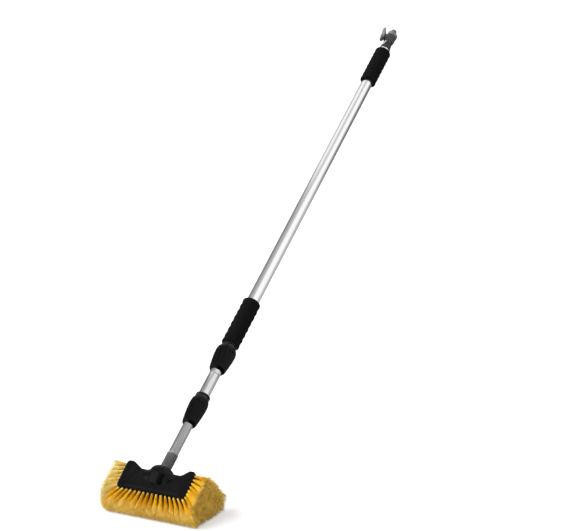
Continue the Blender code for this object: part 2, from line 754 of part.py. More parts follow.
def make_end_bristles(name, side, parts, cutters, material):
    """The tufts on one end of the block, which fan out sideways, down and back."""
    root_x = BLOCK_LENGTH / 2 + SEAT_GAP + SLICE_THICKNESS / 2
    mesh = outline_mesh(name, end_slice_outline(), SLICE_THICKNESS / 2)
    mesh.transform(Matrix.Translation((side * root_x, 0, 0)) @ side_frame())
    item = put(bpy.data.objects.new(name, mesh), parts, None, material)
    shape = bmesh.new()
    for column in range(END_COLUMNS):
        top_share = column / (END_COLUMNS - 1)
        depth = (Vector(end_root(top_share, 1)) - Vector(end_root(top_share, 0))).length
        rows = max(2, 1 + round(depth / END_ROW_PITCH))
        for row in range(rows):
            shares = (top_share, row / (rows - 1))
            for near, far in zip(tuft_offsets(TUFT_ROOT_SPREAD), tuft_offsets(TUFT_TIP_SPREAD)):
                root_y, root_z = end_root(*shares)
                tip_y, tip_z = end_tip(*shares)
                root = Vector((side * root_x, root_y + near[0], root_z + near[1]))
                tip = Vector((side * (root_x + END_FAN), tip_y + far[0], tip_z + far[1]))
                add_strand(shape, root, tip)
    boolean(item, strands_object(name + "_strands", shape, cutters), "UNION")
    return item


# Tubes, connector and pistons


def tube_profile(radius, start, end, crimp_at=None):
    """Outer and inner side of a tube, with a rolled crimp where it has one."""
    bore = radius - TUBE_WALL
    notch = []
    if crimp_at is not None:
        middle = crimp_at + CRIMP_LENGTH / 2
        notch = [(crimp_at + CRIMP_LENGTH, 0), (middle, CRIMP_DEPTH), (crimp_at, 0)]
    outer = [(radius, end)] + [(radius - sink, at) for at, sink in notch] + [(radius, start)]
    inner = [(bore, start)] + [(bore - sink, at) for at, sink in reversed(notch)] + [(bore, end)]
    return outer, inner


def make_tube(name, radius, start, end, crimp_at, parts, pole, material):
    """One drawn tube of the pole."""
    outer, inner = tube_profile(radius, start, end, crimp_at)
    return put(sleeve(name, outer, inner, TUBE_STEPS), parts, pole, material)


def make_connector(parts, pole, material):
    """The threaded connector: a shank in the socket and a banded sleeve that holds the inner tube."""
    seat = INNER_TUBE_RADIUS + SEAT_GAP
    body = seat + CONNECTOR_WALL
    band = body + CONNECTOR_BAND
    top = CONNECTOR_SHOWN
    outer = [
        (band - CONNECTOR_BAND, top),
        (band, top - CONNECTOR_BAND),
        (band, top - CONNECTOR_BAND_LENGTH),
        (body, top - CONNECTOR_BAND_LENGTH - CONNECTOR_BAND),
        (body, CONNECTOR_BAND_LENGTH),
        (band, CONNECTOR_BAND_LENGTH - CONNECTOR_BAND),
        (band, SEAT_GAP),
        (THREAD_RADIUS, SEAT_GAP),
        (THREAD_RADIUS, -THREAD_LENGTH),
    ]
    inner = [(CONNECTOR_BORE, -THREAD_LENGTH), (CONNECTOR_BORE, CONNECTOR_SEAT)]
    inner += [(seat, CONNECTOR_SEAT), (seat, top)]
    return put(sleeve("thread_connector", outer, inner, TUBE_STEPS), parts, pole, material)


def make_connector_washer(parts, pole, material):
    """The flat washer at the bottom of the socket, which the shank presses on."""
    top = -THREAD_LENGTH - SEAT_GAP
    bottom = top - WASHER_THICKNESS
    outer = [(THREAD_RADIUS, top), (THREAD_RADIUS, bottom)]
    inner = [(CONNECTOR_BORE, bottom), (CONNECTOR_BORE, top)]
    return put(sleeve("connector_washer", outer, inner, SMALL_STEPS), parts, pole, material)


def groove(radius, top):
    """Points of a ring groove, read down the outer side from its top edge."""
    floor = radius - 2 * RING_SECTION
    width = 2 * RING_SECTION + 2 * SEAT_GAP
    return [(radius, top), (floor, top), (floor, top - width), (radius, top - width)]


def make_ring(name, running_radius, groove_top, parts, parent, material, steps=TUBE_STEPS):
    """A rubber ring that lies in a groove and just clears the bore it seals."""
    centre = running_radius - SLIDE_GAP - RING_SECTION
    height = groove_top - SEAT_GAP - RING_SECTION
    points = arc(centre, height, RING_SECTION, 90, 90 - 360 + 360 / RING_SIDES, RING_SIDES - 1)
    return put(turned(name, points, True, steps), parts, parent, material)


def make_piston(name, tube_radius, tube_end, parts, pole, material, ring_material):
    """The plastic piston on the end of a tube, with the rubber ring that seals it in the next tube."""
    stem = tube_radius - TUBE_WALL - SEAT_GAP
    bore = tube_radius + NEST_GAP
    head = bore - PISTON_RUNNING
    bottom = tube_end + SEAT_GAP
    top = bottom + PISTON_HEAD
    groove_top = top - PISTON_HEAD / 3
    stem_end = tube_end - PISTON_STEM
    outer = [(head, top)] + groove(head, groove_top) + [(head, bottom), (stem, bottom), (stem, stem_end)]
    inner = [(PISTON_BORE, stem_end), (PISTON_BORE, top)]
    put(sleeve(name, outer, inner, TUBE_STEPS), parts, pole, material)
    make_ring(name + "_ring", bore, groove_top, parts, pole, ring_material)


# Twist locks


def lock_sizes(lock, inner_radius, start):
    """Radius of the tube that the lock is on, and stations of its flange, that tube, collet and spigot."""
    outer_radius = inner_radius + TUBE_WALL + NEST_GAP
    flange_at = start + lock.collar_length
    tube_at = flange_at - LOCK_TUBE_DEPTH
    collet_at = start + LOCK_CAVITY_FOOT + SEAT_GAP
    spigot_at = collet_at + LOCK_COLLET_LENGTH - LOCK_CONE_LENGTH
    return outer_radius, flange_at, tube_at, collet_at, spigot_at


def make_lock_base(lock, inner_radius, start, parts, pole, material):
    """The lock's fixed half: a flange and a threaded spigot on the end of the outer of the two tubes."""
    outer_radius, flange_at, tube_at, _, spigot_at = lock_sizes(lock, inner_radius, start)
    spigot = outer_radius + LOCK_SPIGOT_WALL
    flange = outer_radius + lock.flange_wall
    bottom = flange_at + SEAT_GAP
    top = flange_at + lock.flange_length
    third = (top - bottom) / 3
    pass_radius = inner_radius + BORE_GAP
    cone = inner_radius + LOCK_COLLET_WALL + SEAT_GAP
    outer = [
        (flange - FLANGE_GROOVE, top),
        (flange, top - FLANGE_GROOVE),
        (flange, top - third),
        (flange - FLANGE_GROOVE, top - third - FLANGE_GROOVE),
        (flange, top - third - 2 * FLANGE_GROOVE),
        (flange, bottom),
        (spigot, bottom),
        (spigot, spigot_at),
    ]
    inner = [
        (cone, spigot_at),
        (pass_radius, spigot_at + LOCK_CONE_LENGTH),
        (pass_radius, tube_at - SEAT_GAP),
        (outer_radius + SEAT_GAP, tube_at - SEAT_GAP),
        (outer_radius + SEAT_GAP, top),
    ]
    return put(sleeve(lock.name + "_base", outer, inner, TUBE_STEPS), parts, pole, material)


def make_lock_collet(lock, inner_radius, start, parts, cutters, pole, material):
    """The split ring that grips the inner tube when the collar drives it into the cone."""
    _, _, _, collet_at, spigot_at = lock_sizes(lock, inner_radius, start)
    bore = inner_radius + SEAT_GAP
    wide = inner_radius + LOCK_COLLET_WALL
    tip = inner_radius + LOCK_COLLET_TIP_WALL
    top = collet_at + LOCK_COLLET_LENGTH - LOCK_CONE_LENGTH / 3
    outer = [(tip, top), (wide, spigot_at - SEAT_GAP), (wide, collet_at)]
    inner = [(bore, collet_at), (bore, top)]
    item = put(sleeve(lock.name + "_collet", outer, inner, TUBE_STEPS), parts, pole, material)
    half = LOCK_COLLET_SLOT / 2
    corners = [(0, -half), (2 * wide, -half), (2 * wide, half), (0, half)]
    slot = outline_mesh(lock.name + "_slot", corners, LOCK_COLLET_LENGTH)
    slot.transform(Matrix.Translation((0, 0, collet_at + LOCK_COLLET_LENGTH / 2)))
    cutter = put(bpy.data.objects.new(lock.name + "_slot", slot), cutters, pole)
    boolean(item, as_cutter(cutter), "DIFFERENCE")
    return item


def make_flutes(lock, foot, belly, start, cutters, pole):
    """Cutter of the shallow grooves that run along the collar."""
    length = lock.collar_length * (FLUTE_END_SHARE - FLUTE_START_SHARE)
    middle = start + lock.collar_length * (FLUTE_END_SHARE + FLUTE_START_SHARE) / 2
    lean = math.atan2(belly - foot, lock.collar_length * FLUTE_END_SHARE)
    reach = (foot + belly) / 2 + FLUTE_RADIUS - FLUTE_DEPTH + (belly - foot) / 4
    shape = bmesh.new()
    for index in range(lock.flutes):
        turn = Matrix.Rotation(2 * math.pi * index / lock.flutes, 4, "Z")
        place = turn @ Matrix.Translation((reach, 0, middle)) @ Matrix.Rotation(lean, 4, "Y")
        bmesh.ops.create_cone(
            shape,
            cap_ends=True,
            segments=FLUTE_SIDES,
            radius1=FLUTE_RADIUS,
            radius2=FLUTE_RADIUS,
            depth=length,
            matrix=place,
        )
    mesh = bpy.data.meshes.new(lock.name + "_flutes")
    shape.to_mesh(mesh)
    shape.free()
    return as_cutter(put(bpy.data.objects.new(lock.name + "_flutes", mesh), cutters, pole))


def make_lock_collar(lock, inner_radius, start, parts, cutters, pole, material):
    """The lock's turning half: a fluted nut that covers the collet and the spigot."""
    outer_radius, flange_at, _, _, spigot_at = lock_sizes(lock, inner_radius, start)
    length = lock.collar_length
    foot = inner_radius + lock.collar_foot_wall
    belly = outer_radius + lock.collar_belly_wall
    top = outer_radius + lock.collar_top_wall
    cavity = outer_radius + LOCK_SPIGOT_WALL + SEAT_GAP
    outer = [(top + (belly - top) * out, start + length * up) for out, up in COLLAR_SHOULDER_SHARES]
    outer += [(foot + (belly - foot) * out, start + length * up) for out, up in COLLAR_TAPER_SHARES]
    inner = [
        (inner_radius + BORE_GAP, start),
        (inner_radius + BORE_GAP, start + LOCK_CAVITY_FOOT),
        (inner_radius + LOCK_COLLET_WALL + SEAT_GAP, start + LOCK_CAVITY_FOOT),
        (inner_radius + LOCK_COLLET_WALL + SEAT_GAP, spigot_at - 2 * SEAT_GAP),
        (cavity, spigot_at - 2 * SEAT_GAP),
        (cavity, flange_at),
    ]
    item = put(sleeve(lock.name + "_collar", outer, inner, TUBE_STEPS), parts, pole, material)
    boolean(item, make_flutes(lock, foot, belly, start, cutters, pole), "DIFFERENCE")
    return item


def make_lock(lock, inner_radius, start, parts, cutters, pole, finishes):
    """All pieces of one twist lock."""
    make_lock_base(lock, inner_radius, start, parts, pole, finishes["plastic"])
    make_lock_collet(lock, inner_radius, start, parts, cutters, pole, finishes["nylon"])
    make_lock_collar(lock, inner_radius, start, parts, cutters, pole, finishes["plastic"])


# Grips


def make_grip(name, start, length, parts, pole, material):
    """A foam sleeve with gentle waves along it and round ends."""
    bore = OUTER_TUBE_RADIUS + SEAT_GAP
    end = start + length
    span = length - 2 * GRIP_END_ROUND
    crest = GRIP_RADIUS
    count = GRIP_WAVES * GRIP_WAVE_POINTS
    outer = [(crest - GRIP_END_ROUND / 2, end), (crest - GRIP_END_ROUND / 8, end - GRIP_END_ROUND / 2)]
    for step in range(count + 1):
        share = step / count
        sink = GRIP_WAVE * (1 - math.cos(2 * math.pi * GRIP_WAVES * share)) / 2
        outer.append((crest - sink, end - GRIP_END_ROUND - span * share))
    outer += [(crest - GRIP_END_ROUND / 8, start + GRIP_END_ROUND / 2), (crest - GRIP_END_ROUND / 2, start)]
    return put(sleeve(name, outer, [(bore, start), (bore, end)], SMALL_STEPS), parts, pole, material)


# Valve


def make_boss(cutters, valve):
    """The boss on the housing that the spindle comes out of."""
    points = [(0, BOSS_TOP), (BOSS_RADIUS, BOSS_TOP), (BOSS_RADIUS, BALL_RADIUS), (0, BALL_RADIUS)]
    item = put(turned("boss", points, False, SMALL_STEPS), cutters, valve)
    item.rotation_euler = (0, math.pi / 2, 0)
    return as_cutter(item)


def make_spindle_bore(cutters, valve):
    """Cutter of the spindle's bore through boss and housing wall."""
    radius = SPINDLE_RADIUS + SEAT_GAP
    top = BOSS_TOP + OVERRUN
    bottom = BALL_RADIUS / 2
    points = [(0, top), (radius, top), (radius, bottom), (0, bottom)]
    item = put(turned("spindle_bore", points, False, SMALL_STEPS), cutters, valve)
    item.rotation_euler = (0, math.pi / 2, 0)
    return as_cutter(item)


def make_valve_cavity(cutters, pole):
    """Cutter of the room for the ball and its seats, open towards the nipple."""
    radius = SEAT_RADIUS + SEAT_GAP
    floor = HOUSING_AT + HOUSING_FLOOR
    top = HOUSING_END + OVERRUN
    points = [(0, top), (radius, top), (radius, floor), (VALVE_BORE, floor)]
    points += [(VALVE_BORE, PLUG_END - OVERRUN), (0, PLUG_END - OVERRUN)]
    return as_cutter(put(turned("valve_cavity", points, False, SMALL_STEPS), cutters, pole))


def make_valve_body(parts, cutters, pole, valve, material):
    """The valve's body: a plug in the tube, a flange, a neck and the ball's housing."""
    plug = OUTER_TUBE_RADIUS - TUBE_WALL - PISTON_RUNNING
    flange_at = OUTER_TUBE_END + SEAT_GAP
    neck_at = flange_at + VALVE_FLANGE
    outer = [
        (0, HOUSING_END),
        (HOUSING_RADIUS - HOUSING_EDGE, HOUSING_END),
        (HOUSING_RADIUS, HOUSING_END - HOUSING_EDGE),
        (HOUSING_RADIUS, HOUSING_AT),
        (NECK_RADIUS, HOUSING_AT - HOUSING_EDGE),
        (NECK_RADIUS, neck_at + HOUSING_EDGE),
        (OUTER_TUBE_RADIUS, neck_at),
        (OUTER_TUBE_RADIUS, flange_at),
        (plug, flange_at),
    ]
    outer += groove(plug, flange_at - PLUG_RING_AT)
    outer += [(plug, PLUG_END), (0, PLUG_END)]
    item = put(turned("valve_body", outer, False, TUBE_STEPS), parts, pole, material)
    boolean(item, make_boss(cutters, valve), "UNION")
    boolean(item, make_valve_cavity(cutters, pole), "DIFFERENCE")
    boolean(item, make_spindle_bore(cutters, valve), "DIFFERENCE", "MANIFOLD")
    return item


def make_valve_seat(name, side, parts, pole, material):
    """A ring that the ball turns against, below it for side -1 and above it for side 1."""
    floor = BALL_RADIUS + SEAT_LAND
    land = (math.sqrt(BALL_RADIUS**2 - VALVE_BORE**2) + SEAT_GAP) * side
    lip = (floor - SEAT_HEIGHT) * side
    if side < 0:
        outer = [(SEAT_RADIUS, BALL_AT + lip), (SEAT_RADIUS, BALL_AT - floor)]
        inner = [(VALVE_BORE, BALL_AT - floor), (VALVE_BORE, BALL_AT + land)]
    else:
        outer = [(SEAT_RADIUS, BALL_AT + floor), (SEAT_RADIUS, BALL_AT + lip)]
        inner = [(VALVE_BORE, BALL_AT + land), (VALVE_BORE, BALL_AT + floor)]
    return put(sleeve(name, outer, inner, SMALL_STEPS), parts, pole, material)


def make_ball(parts, cutters, pole, valve, material):
    """The ball, with its bore along the pole and a slot that the spindle turns it by."""
    shape = bmesh.new()
    turn = Matrix.Rotation(math.pi / SMALL_STEPS, 4, "Z")
    bmesh.ops.create_uvsphere(shape, u_segments=SMALL_STEPS, v_segments=12, radius=BALL_RADIUS, matrix=turn)
    mesh = bpy.data.meshes.new("valve_ball")
    shape.to_mesh(mesh)
    shape.free()
    smooth(mesh)
    item = put(bpy.data.objects.new("valve_ball", mesh), parts, valve, material)
    reach = BALL_RADIUS + OVERRUN
    points = [(0, reach), (BALL_BORE, reach), (BALL_BORE, -reach), (0, -reach)]
    bore = put(turned("ball_bore", points, False, SMALL_STEPS), cutters, valve)
    boolean(item, as_cutter(bore), "DIFFERENCE")
    wide = TANG_LENGTH / 2 + SEAT_GAP
    floor = BALL_RADIUS - TANG_DEPTH - SEAT_GAP
    points = [(floor, -wide), (reach, -wide), (reach, wide), (floor, wide)]
    slot = outline_mesh("ball_slot", points, TANG_WIDTH / 2 + SEAT_GAP)
    boolean(item, as_cutter(put(bpy.data.objects.new("ball_slot", slot), cutters, valve)), "DIFFERENCE")
    return item


def make_spindle(parts, cutters, valve, material, ring_material):
    """The spindle from the ball's slot to the lever, with its rubber ring."""
    bottom = BALL_RADIUS + SEAT_GAP
    hole = SCREW_RADIUS + SEAT_GAP
    hole_floor = LEVER_TOP - SCREW_LENGTH - SEAT_GAP
    outer = [(hole, SPINDLE_TOP), (SPINDLE_RADIUS, SPINDLE_TOP)] + groove(SPINDLE_RADIUS, SPINDLE_RING_AT)
    outer += [(SPINDLE_RADIUS, bottom), (0, bottom)]
    profile = [(0, hole_floor), (hole, hole_floor)] + outer
    item = put(turned("valve_spindle", profile, False, SMALL_STEPS), parts, valve, material)
    item.rotation_euler = (0, math.pi / 2, 0)
    half = TANG_LENGTH / 2
    low = bottom - TANG_DEPTH
    high = bottom + RING_SECTION
    tang = outline_mesh("tang", [(low, -half), (high, -half), (high, half), (low, half)], TANG_WIDTH / 2)
    boolean(item, as_cutter(put(bpy.data.objects.new("tang", tang), cutters, valve)), "UNION")
    bore = SPINDLE_RADIUS + SEAT_GAP
    ring = make_ring("spindle_ring", bore, SPINDLE_RING_AT, parts, valve, ring_material, SMALL_STEPS)
    ring.rotation_euler = (0, math.pi / 2, 0)


def lever_outline():
    """The lever seen from its edge: height over the pole's axis against the way along the pole."""
    tip_low = LEVER_BOTTOM + LEVER_TIP_RISE
    tip_high = tip_low + LEVER_TIP_THICKNESS
    return [
        (LEVER_BOTTOM, -LEVER_FOOT * LEVER_FOOT_LOW_SHARE),
        (LEVER_BOTTOM, LEVER_FOOT * LEVER_FOOT_FLAT_SHARE),
        (tip_low, LEVER_REACH * LEVER_NECK_SHARE),
        (tip_low, LEVER_REACH),
        (tip_high - LEVER_TIP_RISE / 2, LEVER_REACH),
        (LEVER_TOP + LEVER_BROW_RISE, LEVER_REACH * LEVER_BROW_SHARE),
        (LEVER_TOP, SCREW_HEAD_RADIUS + 2 * SEAT_GAP),
        (LEVER_TOP, -LEVER_FOOT * LEVER_FOOT_TOP_SHARE),
        ((LEVER_BOTTOM + LEVER_TOP) / 2, -LEVER_FOOT),
    ]


def make_lever(parts, cutters, valve, material):
    """The lever on the spindle. It lies along the pole while the valve is open."""
    points = [(height, -along) for height, along in lever_outline()]
    mesh = outline_mesh("valve_lever", points, LEVER_WIDTH / 2)
    mesh.transform(Matrix.Rotation(-math.pi / 2, 4, "X"))
    smooth(mesh)
    item = put(bpy.data.objects.new("valve_lever", mesh), parts, valve, material)
    bevel = item.modifiers.new("Edges", "BEVEL")
    bevel.width = LEVER_EDGE
    bevel.segments = 2
    bevel.limit_method = "ANGLE"
    bevel.angle_limit = math.radians(35)
    radius = SPINDLE_RADIUS + SEAT_GAP
    reach = LEVER_TOP + OVERRUN
    points = [(0, reach), (radius, reach), (radius, 0), (0, 0)]
    hole = put(turned("lever_hole", points, False, SMALL_STEPS), cutters, valve)
    hole.rotation_euler = (0, math.pi / 2, 0)
    boolean(item, as_cutter(hole), "DIFFERENCE")
    return item


def make_lever_screw(parts, valve, material):
    """The screw that holds the lever on the spindle."""
    seat = LEVER_TOP + SEAT_GAP
    top = seat + SCREW_HEAD_HEIGHT
    edge = SCREW_HEAD_HEIGHT / 3
    points = [
        (0, top),
        (SCREW_HEAD_RADIUS - edge, top),
        (SCREW_HEAD_RADIUS, top - edge),
        (SCREW_HEAD_RADIUS, seat),
        (SCREW_RADIUS, seat),
        (SCREW_RADIUS, LEVER_TOP - SCREW_LENGTH),
        (0, LEVER_TOP - SCREW_LENGTH),
    ]
    item = put(turned("lever_screw", points, False, SMALL_STEPS), parts, valve, material)
    item.rotation_euler = (0, math.pi / 2, 0)
    return item


def make_nipple(parts, cutters, pole, material, ring_material):
    """The hose nipple: a spigot in the housing, a gripped nut and a grooved nipple with its rubber ring."""
    spigot_end = BALL_AT + BALL_RADIUS + SEAT_LAND + SEAT_GAP
    nut_at = HOUSING_END + SEAT_GAP
    nut_end = nut_at + NUT_LENGTH
    top = nut_end + NIPPLE_LENGTH
    ring_top = nut_end + NIPPLE_RING_AT
    outer = [
        (VALVE_BORE, top),
        (NIPPLE_RADIUS - NIPPLE_NECK / 2, top),
        (NIPPLE_RADIUS, top - NIPPLE_NECK),
    ]
    outer += groove(NIPPLE_RADIUS, ring_top)
    outer += [
        (NIPPLE_RADIUS, nut_end + NIPPLE_NECK),
        (NIPPLE_RADIUS + NIPPLE_NECK, nut_end),
        (NUT_RADIUS - 2 * NUT_EDGE, nut_end),
        (NUT_RADIUS, nut_end - 2 * NUT_EDGE),
        (NUT_RADIUS, nut_at + NUT_EDGE),
        (NUT_RADIUS - NUT_EDGE, nut_at),
        (SEAT_RADIUS, nut_at),
        (SEAT_RADIUS, spigot_end),
        (VALVE_BORE, spigot_end),
    ]
    item = put(turned("hose_nipple", outer, True, SMALL_STEPS), parts, pole, material)
    shape = bmesh.new()
    reach = NUT_RADIUS + NUT_EDGE / 2
    for index in range(NUT_SIDES):
        turn = Matrix.Rotation(2 * math.pi * index / NUT_SIDES, 4, "Z")
        place = turn @ Matrix.Translation((reach, 0, (nut_at + nut_end) / 2))
        bmesh.ops.create_cone(
            shape,
            cap_ends=True,
            segments=FLUTE_SIDES,
            radius1=NUT_EDGE,
            radius2=NUT_EDGE,
            depth=2 * NUT_LENGTH,
            matrix=place,
        )
    mesh = bpy.data.meshes.new("nut_grip")
    shape.to_mesh(mesh)
    shape.free()
    boolean(item, as_cutter(put(bpy.data.objects.new("nut_grip", mesh), cutters, pole)), "DIFFERENCE")
    make_ring("nipple_ring", NIPPLE_RADIUS + SLIDE_GAP, ring_top, parts, pole, ring_material, SMALL_STEPS)
    return item


def make_valve(parts, cutters, pole, finishes):
    """All pieces of the valve. Its own frame has X along the spindle and Z along the pole."""
    valve = put(bpy.data.objects.new("valve_axis", None), parts, pole)
    valve.location = (0, 0, BALL_AT)
    valve.rotation_euler = (0, 0, LEVER_TURN)
    make_valve_body(parts, cutters, pole, valve, finishes["valve"])
    ring_top = OUTER_TUBE_END + SEAT_GAP - PLUG_RING_AT
    make_ring("valve_plug_ring", OUTER_TUBE_RADIUS - TUBE_WALL, ring_top, parts, pole, finishes["rubber"])
    make_valve_seat("lower_valve_seat", -1, parts, pole, finishes["nylon"])
    make_valve_seat("upper_valve_seat", 1, parts, pole, finishes["nylon"])
    make_ball(parts, cutters, pole, valve, finishes["steel"])
    make_spindle(parts, cutters, valve, finishes["valve"], finishes["rubber"])
    make_lever(parts, cutters, valve, finishes["lever"])
    make_lever_screw(parts, valve, finishes["steel"])
    make_nipple(parts, cutters, pole, finishes["lever"], finishes["rubber"])


def make_finishes():
    """The finishes of all pieces, by a short name."""
    return {
        "block": finish("black_moulding", (0.012, 0.012, 0.013), 0.42),
        "bristle": finish("yellow_bristle", (0.84, 0.52, 0.07), 0.6),
        "aluminium": finish("satin_aluminium", (0.82, 0.83, 0.85), 0.28, 1.0),
        "connector": finish("grey_connector", (0.17, 0.17, 0.18), 0.45),
        "plastic": finish("black_plastic", (0.018, 0.018, 0.02), 0.3),
        "nylon": finish("white_nylon", (0.75, 0.75, 0.72), 0.5),
        "foam": finish("black_foam", (0.011, 0.011, 0.011), 0.95),
        "rubber": finish("black_rubber", (0.01, 0.01, 0.01), 0.8),
        "valve": finish("dark_grey_plastic", (0.075, 0.076, 0.08), 0.45),
        "lever": finish("grey_plastic", (0.26, 0.26, 0.27), 0.4),
        "steel": finish("steel", (0.6, 0.6, 0.6), 0.25, 1.0),
    }


def make_pole(parts, cutters, pole, finishes):
    """All pieces of the pole between the block and the valve."""
    metal = finishes["aluminium"]
    make_connector(parts, pole, finishes["connector"])
    make_connector_washer(parts, pole, finishes["rubber"])
    inner_start = CONNECTOR_SEAT + SEAT_GAP
    make_tube("inner_tube", INNER_TUBE_RADIUS, inner_start, INNER_TUBE_END, None, parts, pole, metal)
    nylon = finishes["nylon"]
    rubber = finishes["rubber"]
    make_piston("inner_piston", INNER_TUBE_RADIUS, INNER_TUBE_END, parts, pole, nylon, rubber)
    start = LOWER_LOCK_AT + LOWER_LOCK.collar_length - LOCK_TUBE_DEPTH
    end = MIDDLE_TUBE_END
    make_tube("middle_tube", MIDDLE_TUBE_RADIUS, start, end, MIDDLE_CRIMP_AT, parts, pole, metal)
    make_piston("middle_piston", MIDDLE_TUBE_RADIUS, MIDDLE_TUBE_END, parts, pole, nylon, rubber)
    start = UPPER_LOCK_AT + UPPER_LOCK.collar_length - LOCK_TUBE_DEPTH
    make_tube("outer_tube", OUTER_TUBE_RADIUS, start, OUTER_TUBE_END, OUTER_CRIMP_AT, parts, pole, metal)
    make_lock(LOWER_LOCK, INNER_TUBE_RADIUS, LOWER_LOCK_AT, parts, cutters, pole, finishes)
    make_lock(UPPER_LOCK, MIDDLE_TUBE_RADIUS, UPPER_LOCK_AT, parts, cutters, pole, finishes)
    make_grip("front_grip", FRONT_GRIP_AT, FRONT_GRIP_LENGTH, parts, pole, finishes["foam"])
    make_grip("rear_grip", REAR_GRIP_AT, REAR_GRIP_LENGTH, parts, pole, finishes["foam"])


def main():
    """Builds the whole brush."""
    clear_scene()
    parts = new_collection("extending_wash_brush")
    cutters = new_collection("cutters")
    finishes = make_finishes()
    pole = put(bpy.data.objects.new("pole_axis", None), parts)
    pole.location = (0, MOUTH_Y, MOUTH_Z)
    pole.rotation_euler = (POLE_RISE - math.pi / 2, 0, 0)
    make_block(parts, cutters, pole, finishes["block"])
    make_base_bristles(parts, cutters, finishes["bristle"])
    make_front_bristles(parts, cutters, finishes["bristle"])
    make_end_bristles("left_bristles", -1, parts, cutters, finishes["bristle"])
    make_end_bristles("right_bristles", 1, parts, cutters, finishes["bristle"])
    make_pole(parts, cutters, pole, finishes)
    make_valve(parts, cutters, pole, finishes)


main()
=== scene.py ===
"""Looks of the extending wash brush: fanned bristles, moulded block, tube pole, locks, grips and valve.

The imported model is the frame. Pieces of the pole are made upright, with their heights measured along the
pole from the mouth of the block's socket, and then laid on the pole's axis.
"""

import logging
import math
import random
from dataclasses import dataclass
from enum import Enum
from typing import ClassVar, Iterable, Sequence

import bmesh
import bpy
from mathutils import Matrix, Vector


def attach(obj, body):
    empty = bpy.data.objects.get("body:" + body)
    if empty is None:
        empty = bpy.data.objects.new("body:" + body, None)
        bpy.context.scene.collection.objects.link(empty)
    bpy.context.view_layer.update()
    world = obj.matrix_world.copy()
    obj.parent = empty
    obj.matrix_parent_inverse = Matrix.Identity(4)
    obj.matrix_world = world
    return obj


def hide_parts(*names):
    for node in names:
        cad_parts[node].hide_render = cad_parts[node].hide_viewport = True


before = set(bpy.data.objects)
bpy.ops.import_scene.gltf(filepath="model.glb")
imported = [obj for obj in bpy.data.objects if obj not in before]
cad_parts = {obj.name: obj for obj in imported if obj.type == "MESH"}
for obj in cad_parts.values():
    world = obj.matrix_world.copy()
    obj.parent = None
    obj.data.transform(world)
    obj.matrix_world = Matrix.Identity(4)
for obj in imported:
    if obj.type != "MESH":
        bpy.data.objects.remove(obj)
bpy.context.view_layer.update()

log = logging.getLogger("wash_brush")

MM = 0.001
MERGE = 0.002 * MM
Pair = tuple[float, float]
Colour = tuple[float, float, float]
Material = bpy.types.Material
Finishes = dict[str, Material]
Shape = bmesh.types.BMesh

POLE_TILT = math.radians(55)
SLOPE_TILT = math.radians(38.7)
LEVER_SIDE = math.radians(225)
BALL_AT = 1233 * MM
HERE = Matrix.Identity(4)
POLE = Matrix.Translation((0.0, 8.5 * MM, 76.7 * MM)) @ Matrix.Rotation(-POLE_TILT, 4, "X")
SLOPE = Matrix.Translation((0.0, -45 * MM, 53.5 * MM)) @ Matrix.Rotation(SLOPE_TILT, 4, "X")
VALVE = POLE @ Matrix.Translation((0.0, 0.0, BALL_AT)) @ Matrix.Rotation(LEVER_SIDE, 4, "Z")
SPINDLE = VALVE @ Matrix.Rotation(math.pi / 2, 4, "Y")


def mm(*points: Pair) -> tuple[Pair, ...]:
    """Turns points in millimetres into points in metres."""
    return tuple((first * MM, second * MM) for first, second in points)


class Body(Enum):
    """The moving bodies that pieces ride on."""

    HEAD = "head"
    MIDDLE = "middle"
    OUTER = "outer"
    LOWER_COLLAR = "lower_collar"
    UPPER_COLLAR = "upper_collar"
    LEVER = "lever"


# Shader graph


class Wire:
    """An output socket with the arithmetic that the finishes use."""

    def __init__(self, board: "Board", socket: bpy.types.NodeSocket) -> None:
        """Wraps one socket of a board."""
        self.board = board
        self.socket = socket

    def _math(self, operation: str, first: "Wire | float", second: "Wire | float") -> "Wire":
        """Adds one Math node.

        Args:
            operation: The Math node's operation.
            first: Its first value or link.
            second: Its second value or link.

        Returns:
            The node's result.
        """
        return self.board.node("ShaderNodeMath", {"operation": operation}, {0: first, 1: second})

    def __add__(self, other: "Wire | float") -> "Wire":
        """Adds."""
        return self._math("ADD", self, other)

    def __radd__(self, other: float) -> "Wire":
        """Adds to a number."""
        return self._math("ADD", other, self)

    def __sub__(self, other: "Wire | float") -> "Wire":
        """Subtracts."""
        return self._math("SUBTRACT", self, other)

    def __rsub__(self, other: float) -> "Wire":
        """Subtracts from a number."""
        return self._math("SUBTRACT", other, self)

    def __mul__(self, other: "Wire | float") -> "Wire":
        """Multiplies."""
        return self._math("MULTIPLY", self, other)

    def __rmul__(self, other: float) -> "Wire":
        """Multiplies a number."""
        return self._math("MULTIPLY", other, self)

    def __pow__(self, other: float) -> "Wire":
        """Raises to a power."""
        return self._math("POWER", self, other)


